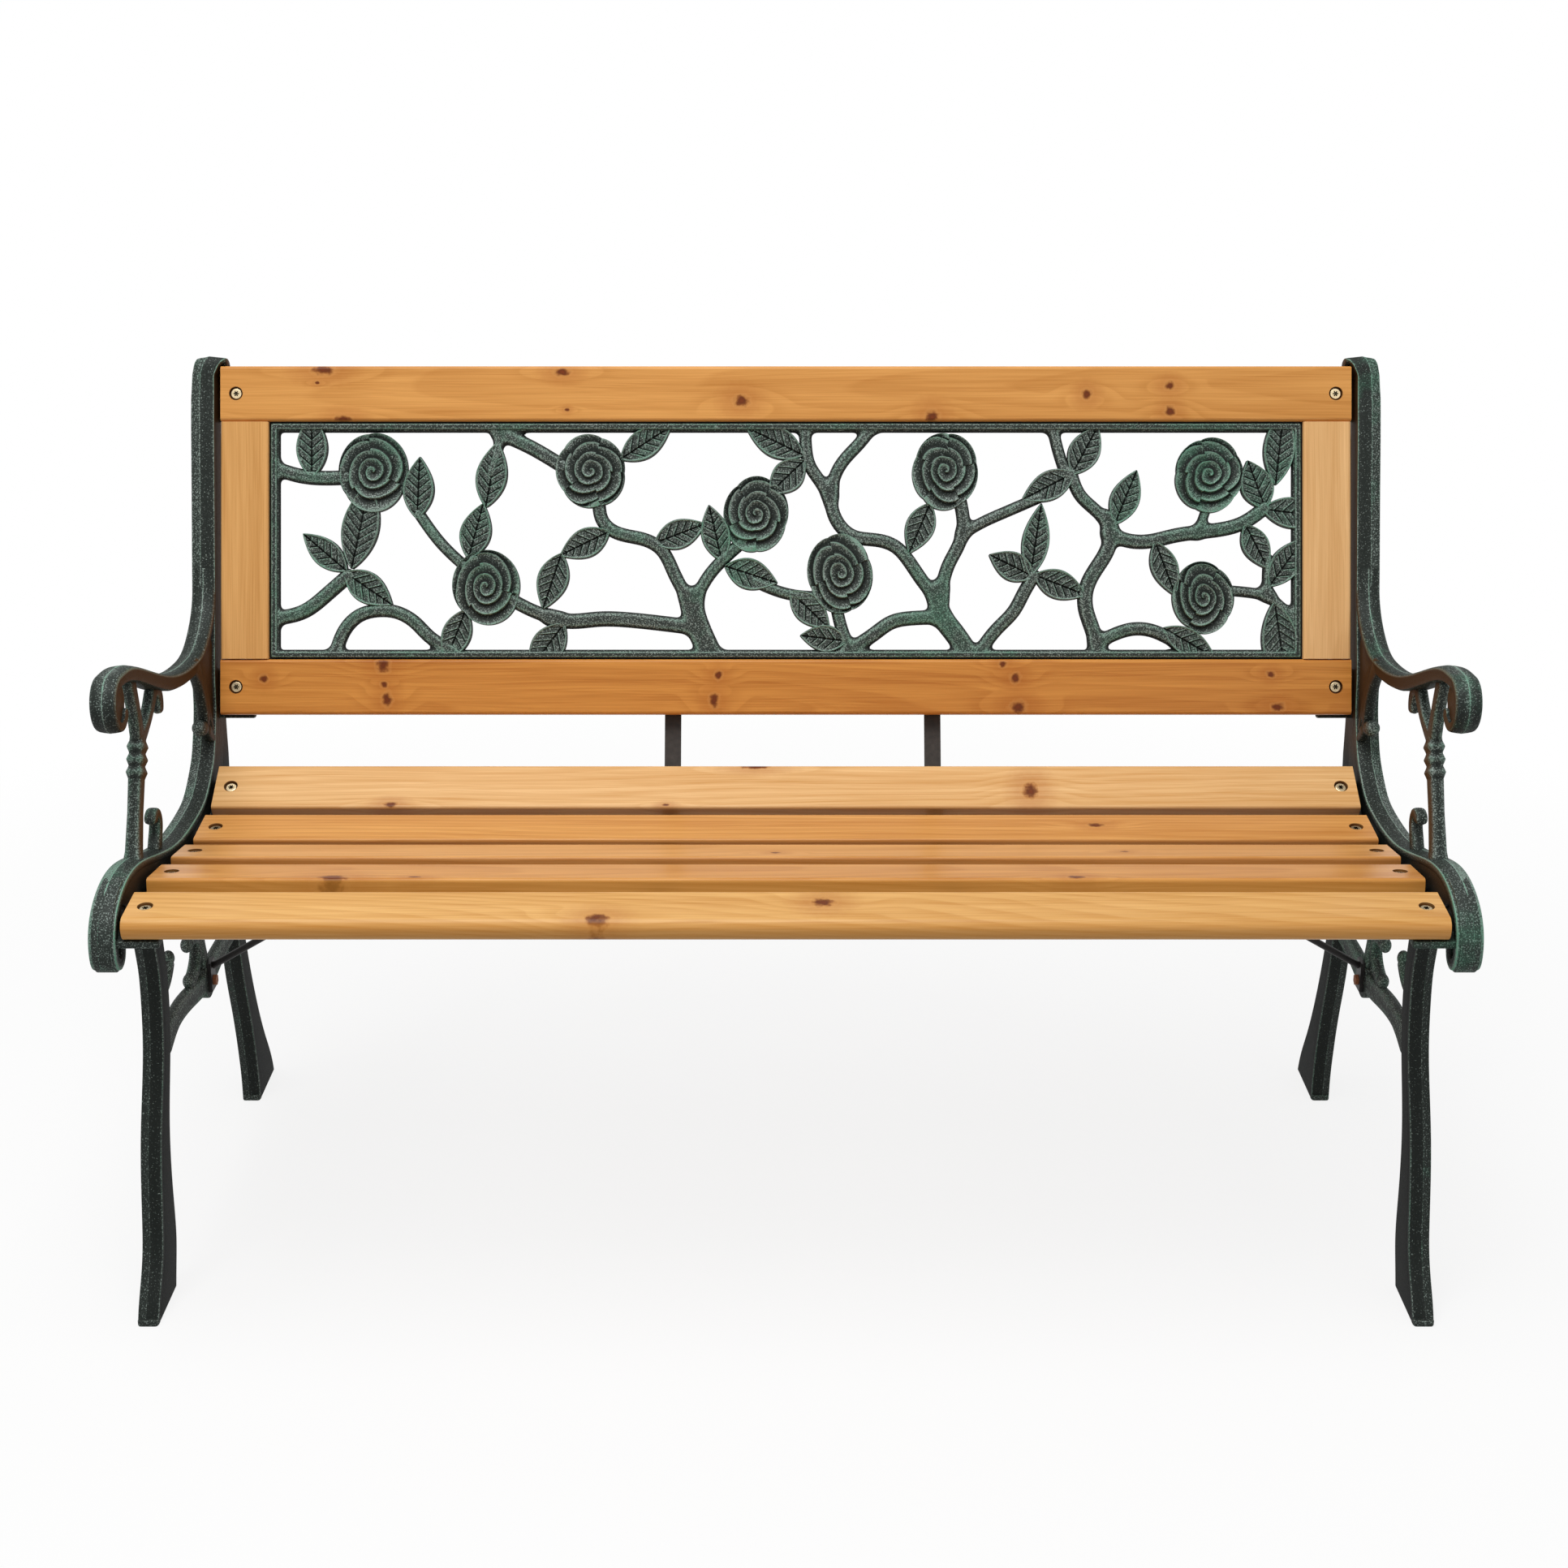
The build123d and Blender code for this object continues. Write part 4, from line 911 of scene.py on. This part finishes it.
make_piece("rose_flowers", [rose(*one) for one in roses], cast_iron, "rose_panel")


# Boards
# Five seat boards and the rails and stiles of the back, planed from pine with rounded edges and varnished.
# Each has its own grain and knots. They are bolted to the castings through counterbored holes.

bolt_x = 568
bore_radius = 6.9
dark_bore_radius = 7.3
wave_length = 320
wave_width = 50
wave_bend = 12
no_knot = 99.0
ring_width = 5

# Streaks along the grain: length, width, detail and weight of the fibres, drawn 1.3 mm wide so that they
# show, and of broad slow bands
grain_streaks = [(110, 1.3, 3.0, 1.0), (420, 13, 2.0, 0.9)]

# Knot stains from the outside in: a red bloom, a pale ring, two steps of a dark outline, and the red-brown
# knot. Columns: where each is full and where it ends, in shares of the knot, its strength and its colour.
knot_stains = [
    (1.0, 4.0, 0.42, "#a2531d"),
    (1.45, 1.9, 0.22, "#e8b46a"),
    (1.1, 1.6, 0.75, "#8f4a1a"),
    (0.9, 1.35, 0.8, "#4c1a08"),
    (0.4, 1.0, 0.7, "#813813"),
]


def pine(name, place, knots, pith, light, dark, seed, upright=False, edge_shade=None):
    """Varnished pine for one board: warm streaks, rings and red-brown knots under a soft sheen. place is
    its middle and turn, knots are (x, y, half length, half width) on its face, pith is how far below and
    beside the board its rings' middle lies and how fast that rises, and edge_shade is the colour of the
    painted shade on the front edge, the face's light one if none is given."""
    material, surface = new_material(name)
    pine_node = partial(add_node, material)
    coordinates = pine_node("TexCoord", {}, "Object")
    *middle, turn = place
    placing = {"Vector": coordinates, "Location": np.array(middle) / metre, "Rotation": (turn, 0, 0)}
    board = pine_node("Mapping", placing, vector_type="TEXTURE")
    if upright:
        split = pine_node("SeparateXYZ", {0: board}).node.outputs
        board = pine_node("CombineXYZ", {0: split[1], 1: split[0], 2: split[2]})
    millimetres = pine_node("VectorMath", {0: board, 1: (metre, metre, metre)}, operation="MULTIPLY")
    # Slow waves bend the grain, a forearm long and a finger wide
    stretched = pine_node(
        "VectorMath",
        {0: millimetres, 1: (1 / wave_length, 1 / wave_width, 1 / wave_width), 2: (seed, seed, 0)},
        operation="MULTIPLY_ADD",
    )
    waves = pine_node("TexNoise", {"Vector": stretched, "Scale": 1.0, "Detail": 1.0}, "Color")
    bend = (0, wave_bend, wave_bend)
    bent = pine_node("VectorMath", {0: waves, 1: bend, 2: millimetres}, operation="MULTIPLY_ADD")
    below, beside, rise = pith
    split = pine_node("SeparateXYZ", {0: bent}).node.outputs
    depth = pine_node("Math", {0: split[0], 1: rise, 2: split[2]}, operation="MULTIPLY_ADD")
    section = pine_node("CombineXYZ", {0: 0.0, 1: split[1], 2: depth})
    radius = pine_node("VectorMath", {0: section, 1: (0, beside, -below)}, "Value", operation="DISTANCE")
    # Knots: the nearest one's share of its own size, and the same drawn out along the grain as an eye
    waver = pine_node("TexNoise", {"Vector": millimetres, "Scale": 1 / 6, "Detail": 2.0})
    nearest = nearest_eye = no_knot
    for knot_x, knot_y, half_length, half_width in knots:
        from_knot = pine_node("VectorMath", {0: millimetres, 1: (knot_x, knot_y, 0)}, operation="SUBTRACT")
        sized = pine_node(
            "VectorMath", {0: from_knot, 1: (1 / half_length, 1 / half_width, 0)}, operation="MULTIPLY"
        )
        share = pine_node("VectorMath", {0: sized}, "Value", operation="LENGTH")
        nearest = pine_node("Math", {0: nearest, 1: share}, operation="MINIMUM")
        drawn_out = pine_node("VectorMath", {0: sized, 1: (0.4, 1, 0)}, operation="MULTIPLY")
        share = pine_node("VectorMath", {0: drawn_out}, "Value", operation="LENGTH")
        nearest_eye = pine_node("Math", {0: nearest_eye, 1: share}, operation="MINIMUM")
    # Year rings: each darkens slowly towards its outer edge, and they are pushed aside round each knot
    swell = pine_node(
        "MapRange",
        {"Value": nearest_eye, "From Min": 0.7, "From Max": 3.2, "To Min": 1.1, "To Max": 0.0},
        interpolation_type="SMOOTHERSTEP",
    )
    rings = pine_node("Math", {0: radius, 1: 1 / ring_width, 2: swell}, operation="MULTIPLY_ADD")
    ring_share = pine_node("Math", {0: rings}, operation="FRACT")
    late_wood = pine_node(
        "MapRange",
        {"Value": ring_share, "From Min": 0.2, "From Max": 0.92, "To Max": 0.1 if upright else 0.2},
        interpolation_type="SMOOTHSTEP",
    )
    late_end = pine_node(
        "MapRange", {"Value": ring_share, "From Min": 0.92, "From Max": 1.0, "To Min": 1.0, "To Max": 0.0}
    )
    late_wood = pine_node("Math", {0: late_wood, 1: late_end}, operation="MULTIPLY")
    tone = late_wood
    streaks = []
    for length, width, detail, weight in grain_streaks:
        drawn = {0: bent, 1: (1 / length, 1 / width, 1 / width)}
        streak_place = pine_node("VectorMath", drawn, operation="MULTIPLY")
        streaks.append(pine_node("TexNoise", {"Vector": streak_place, "Scale": 1.0, "Detail": detail}))
        tone = pine_node("Math", {0: streaks[-1], 1: weight, 2: tone}, operation="MULTIPLY_ADD")
    tone = pine_node("MapRange", {"Value": tone, "From Min": 0.65, "From Max": 1.45})
    wood = pine_node("Mix", {0: tone, 6: linear(light), 7: linear(dark)}, **colour_mix)
    wavering = pine_node("Math", {0: waver, 1: 1.1, 2: nearest}, operation="MULTIPLY_ADD")
    for full, end, strength, colour in knot_stains:
        fading = {"Value": wavering, "From Min": full, "From Max": end, "To Min": strength, "To Max": 0.0}
        stain = pine_node("MapRange", fading)
        wood = pine_node("Mix", {0: stain, 6: wood, 7: linear(colour)}, **colour_mix)
    # Front edge: painted shade on the faces that turn to the front, away from the light overhead
    facing = pine_node("NewGeometry", {}, "Normal")
    backwards = pine_node(
        "VectorMath", {0: facing, 1: (0, cos(turn), sin(turn))}, "Value", operation="DOT_PRODUCT"
    )
    front_edge_shade = pine_node("MapRange", {"Value": backwards, "From Min": -0.5, "From Max": -0.95, "To Max": 0.45})
    wood = pine_node("Mix", {0: front_edge_shade, 6: wood, 7: linear(edge_shade or light)}, **colour_mix)
    # Counterbores round the bolts near both ends: bare end grain, dark, with painted shade down in the bore
    from_middle = pine_node("VectorMath", {0: millimetres}, operation="ABSOLUTE")
    level = pine_node("VectorMath", {0: from_middle, 1: (1, 1, 0)}, operation="MULTIPLY")
    from_bolt = pine_node("VectorMath", {0: level, 1: (bolt_x, 0, 0)}, "Value", operation="DISTANCE")
    bore_shade_and_end_grain = pine_node(
        "MapRange",
        {
            "Value": from_bolt,
            "From Min": bore_radius,
            "From Max": dark_bore_radius,
            "To Min": 0.8,
            "To Max": 0.0,
        },
    )
    wood = pine_node("Mix", {0: bore_shade_and_end_grain, 6: wood, 7: linear("#4a2a12")}, **colour_mix)
    pores = pine_node("Bump", {"Height": streaks[0], "Strength": 0.12, "Distance": 0.0004})
    varnish = {"Base Color": wood, "Normal": pores, "Roughness": 0.3, "Specular IOR Level": 0.16}
    feed(material, surface, varnish)
    return material


def finish_node(name, material):
    """The CAD node keeps its shape and takes a new material in every slot."""
    mesh = nodes[name].data
    mesh.materials.clear()
    mesh.materials.append(material)


# Each seat board from front to back: knots, pith, the varnish's light and dark, and the front edge's
# painted shade
seat_woods = [
    ([(33, 7, 11, 9), (-166, -21, 12, 9)], (70, -20, 0.06), "#ebb974", "#c88e48", "#d98c38"),
    (
        [(-415, -24, 16, 10), (266, -22, 9, 6), (-340, -22, 8, 3)],
        (60, 14, 0.03), "#e1a45c", "#bd7a36", "#d2933f",
    ),
    ([(-10, -10, 6, 4), (325, -5, 6, 3)], (90, 30, 0.02), "#e6ab66", "#c4843f", "#8f4608"),
    ([(309, 3, 9, 5)], (50, -40, 0.01), "#e6aa62", "#c17e3c", "#8f4608"),
    (
        [(-402, -24, 8, 4), (250, -6, 9, 12), (-122, -25, 5, 2), (-32, 26, 16, 4)],
        (80, 60, 0.015), "#eec289", "#cf9858", "#9a4c08",
    ),
]
for i, (knots, pith, light, dark, edge_shade) in enumerate(seat_woods):
    y, z, tilt = board_places[i]
    board_pine = pine(
        f"varnished_pine_seat_{i + 1}", (0, y, z, tilt), knots, pith, light, dark, 3.7 * i + 1,
        edge_shade=edge_shade,
    )
    finish_node(f"seat_slat_{i + 1}", board_pine)

bottom_knots = [
    (-539, 8, 5, 5), (-416, 22, 8, 8), (-415, 2, 4, 4), (-412, -13, 6, 8), (-70, 12, 5, 5),
    (-74, -14, 6, 8), (224, 23, 5, 4), (237, 9, 6, 6), (240, -21, 9, 7), (501, 13, 5, 4), (508, -21, 8, 5),
]
top_knots = [
    (-478, 24, 13, 6), (-484, 11, 3, 2), (-457, -27, 10, 5), (-231, 22, 9, 5), (-226, -17, 3, 2),
    (-46, -8, 9, 7), (151, -25, 8, 8), (311, -1, 6, 6), (396, 8, 6, 5), (397, -18, 6, 6),
]
for name, knots, (y, z, tilt), seed, pith, light, dark in (
    ("back_bottom_rail", bottom_knots, board_places[5], 21, (60, -20, 0.02), "#db974a", "#b5702f"),
    ("back_top_rail", top_knots, board_places[6], 33, (75, 15, -0.025), "#e4a55c", "#c3833f"),
):
    finish_node(name, pine(f"varnished_pine_{name}", (0, y, z, tilt), knots, pith, light, dark, seed))

stile_x = 559
for name, side, light, dark in (
    ("back_stile_left", -1, "#e6b06e", "#c68d4d"), ("back_stile_right", 1, "#f0c187", "#d49f62")
):
    y, z = back_point(panel_middle, 0)
    stile_pine = pine(
        f"varnished_pine_{name}", (side * stile_x, y, z, pi / 2 - back_lean), [],
        (40, 25 * side, 0.03), light, dark, 45 + side, upright=True,
    )
    finish_node(name, stile_pine)


# Bolts, washers and nuts
# Zinc-plated steel with a yellow passivation: M6 bolts with star recesses sunk in the boards, plain washers
# and hexagon nuts under the castings' seats.

# Yellow zinc gives a warm metal glint, tarnished in spots, with painted shade inside the star recess
zinc, zinc_surface = new_material("yellow_zinc_steel")
zinc_node = partial(add_node, zinc)
place = zinc_node("TexCoord", {}, "Object")
tarnish = zinc_node("TexNoise", {"Vector": place, "Scale": per_metre(3), "Detail": 3.0})
plating = zinc_node("Mix", {0: tarnish, 6: linear("#efdfbc"), 7: linear("#bda47a")}, **colour_mix)
# Painted shade: the star recess is painted dark where ambient occlusion finds it closed in
openness = zinc_node("AmbientOcclusion", {"Distance": 0.004}, "AO", only_local=True, samples=8)
recess_shade = zinc_node("MapRange", {"Value": openness, "From Min": 0.6, "From Max": 0.9})
plating = zinc_node("Mix", {0: recess_shade, 6: linear("#1d150c"), 7: plating}, **colour_mix)
feed(zinc, zinc_surface, {"Base Color": plating, "Metallic": 1.0, "Roughness": 0.32})
zinc_nodes = ["seat_bolts", "seat_washers", "seat_nuts", "back_bolts", "back_washers", "back_nuts"]
for name in zinc_nodes + ["strap_screws", "brace_screws"]:
    finish_node(name, zinc)


# Lug bolts and nuts
# Plain steel hexagon bolts that hold the brace rods to the castings. They have gone brown with rust, which
# is dull and pitted.


def mottled(name, first, second, size, detail, pits, surface_inputs):
    """Material that wanders between two colours by noise of a size in millimetres, pitted by that noise."""
    material, surface = new_material(name)
    place = add_node(material, "TexCoord", {}, "Object")
    noise = add_node(material, "TexNoise", {"Vector": place, "Scale": per_metre(size), "Detail": detail})
    colour = add_node(material, "Mix", {0: noise, 6: linear(first), 7: linear(second)}, **colour_mix)
    pitted = add_node(material, "Bump", {"Height": noise, "Strength": pits, "Distance": 0.0004})
    feed(material, surface, {"Base Color": colour, "Normal": pitted, **surface_inputs})
    return material


rust = mottled("rusted_steel", "#5a3420", "#b06a3c", 2, 4.0, 0.5, {"Roughness": 0.7})
for name in ("brace_bolts", "brace_nuts"):
    finish_node(name, rust)


# Straps and brace rods
# Flat bars and round rods of mild steel, bent cold and dipped in black paint, screwed under the boards.
# The paint is dull black; the straps are painted a little lighter, as painted light on their lit faces.

dip_paint = {"Roughness": 0.48, "Specular IOR Level": 0.25}
# The straps' lighter mottle is painted light on the same black paint
painted_lit_steel = mottled("black_steel_painted_lit", "#1c1917", "#453e39", 6, 4.0, 0.2, dip_paint)
rod_steel = mottled("black_painted_steel", "#0f0e0e", "#2a2726", 6, 4.0, 0.2, dip_paint)
for side in ("left", "right"):
    finish_node(f"support_strap_{side}", painted_lit_steel)
    finish_node(f"brace_rod_{side}", rod_steel)


# Dowels
# Beech pins inside the joints of the back frame. Nothing shows of them.

beech = mottled("beech", "#dcbc92", "#bf9766", 2, 2.0, 0.0, {"Roughness": 0.6})
finish_node("stile_dowels", beech)


# Studio
# A pale floor that keeps a faint shadow of the bench and fades to white further out, a white surround, a
# broad soft lamp overhead and a weak one low in front.


def seen_directly(owner):
    """One for camera rays, mirror rays and rays through glass, nought for the light that bounces."""
    rays = add_node(owner, "LightPath", {}).node.outputs
    total = add_node(owner, "Math", {0: rays["Is Camera Ray"], 1: rays["Is Glossy Ray"]}, operation="ADD")
    return add_node(
        owner, "Math", {0: total, 1: rays["Is Transmission Ray"]}, operation="ADD", use_clamp=True
    )


floor_reach = 30.0
floor_corners = [(x * floor_reach, y * floor_reach, 0) for x, y in ((-1, -1), (1, -1), (1, 1), (-1, 1))]
floor_mesh = bpy.data.meshes.new("floor")
floor_mesh.from_pydata(floor_corners, [], [(0, 1, 2, 3)])
floor = bpy.data.objects.new("floor", floor_mesh)
bpy.context.scene.collection.objects.link(floor)
floor_paint, floor_surface = new_material("white_floor")
floor_node = partial(add_node, floor_paint)
place = floor_node("TexCoord", {}, "Object")
from_bench = floor_node("VectorMath", {0: place}, "Value", operation="LENGTH")
far = floor_node("MapRange", {"Value": from_bench, "From Min": 0.5, "From Max": 1.8, "To Min": 0.82})
seen = seen_directly(floor_paint)
faded = floor_node("Math", {0: far, 1: seen}, operation="MULTIPLY")
white = floor_node("Emission", {"Color": (1, 1, 1, 1), "Strength": 1.0})
seen_colour = floor_node("Mix", {0: seen, 6: linear("#b4b4b4"), 7: linear("#f7f7f7")}, **colour_mix)
feed(floor_paint, floor_surface, {"Base Color": seen_colour, "Roughness": 0.9})
floor_mix = floor_node("MixShader", {0: faded, 1: floor_surface.outputs[0], 2: white})
feed(floor_paint, floor_paint.node_tree.nodes["Material Output"], {"Surface": floor_mix})
floor_mesh.materials.append(floor_paint)

world = bpy.data.worlds.new("white_surround")
bpy.context.scene.world = world
world.use_nodes = True
strength = add_node(world, "MapRange", {"Value": seen_directly(world), "To Min": 0.31, "To Max": 1.0})
feed(world, world.node_tree.nodes["Background"], {"Color": (1, 1, 1, 1), "Strength": strength})

# Lamps: name, place, size, and power
lamps = [
    ("key_lamp", (-0.4, -0.8, 3.3), 2.0, 80),
    ("fill_lamp", (1.6, -3.0, 1.3), 1.8, 7),
]
aim = np.array([0, 0, 0.5])
for name, position, size, power in lamps:
    lamp_data = bpy.data.lights.new(name, "AREA")
    lamp_data.size = size
    lamp_data.energy = power
    lamp = bpy.data.objects.new(name, lamp_data)
    lamp.location = position
    towards = aim - np.array(position)
    flat = np.hypot(towards[0], towards[1])
    lamp.rotation_euler = (np.arctan2(flat, -towards[2]), 0, np.arctan2(towards[1], towards[0]) - pi / 2)
    bpy.context.scene.collection.objects.link(lamp)

# Camera
# It stands in front of the bench, 1.24 m up, and looks down on it by 20 degrees.

camera_tilt = radians(20)
camera_data = bpy.data.cameras.new("camera")
camera_data.sensor_width = 36.0
camera_data.lens = 53.6
camera_data.shift_x = -0.0012
camera = bpy.data.objects.new("camera", camera_data)
camera.location = (0, -2.156, 1.239)
camera.rotation_euler = (pi / 2 - camera_tilt, 0, 0)
bpy.context.scene.collection.objects.link(camera)
bpy.context.scene.camera = camera
bpy.context.scene.view_settings.view_transform = "Standard"
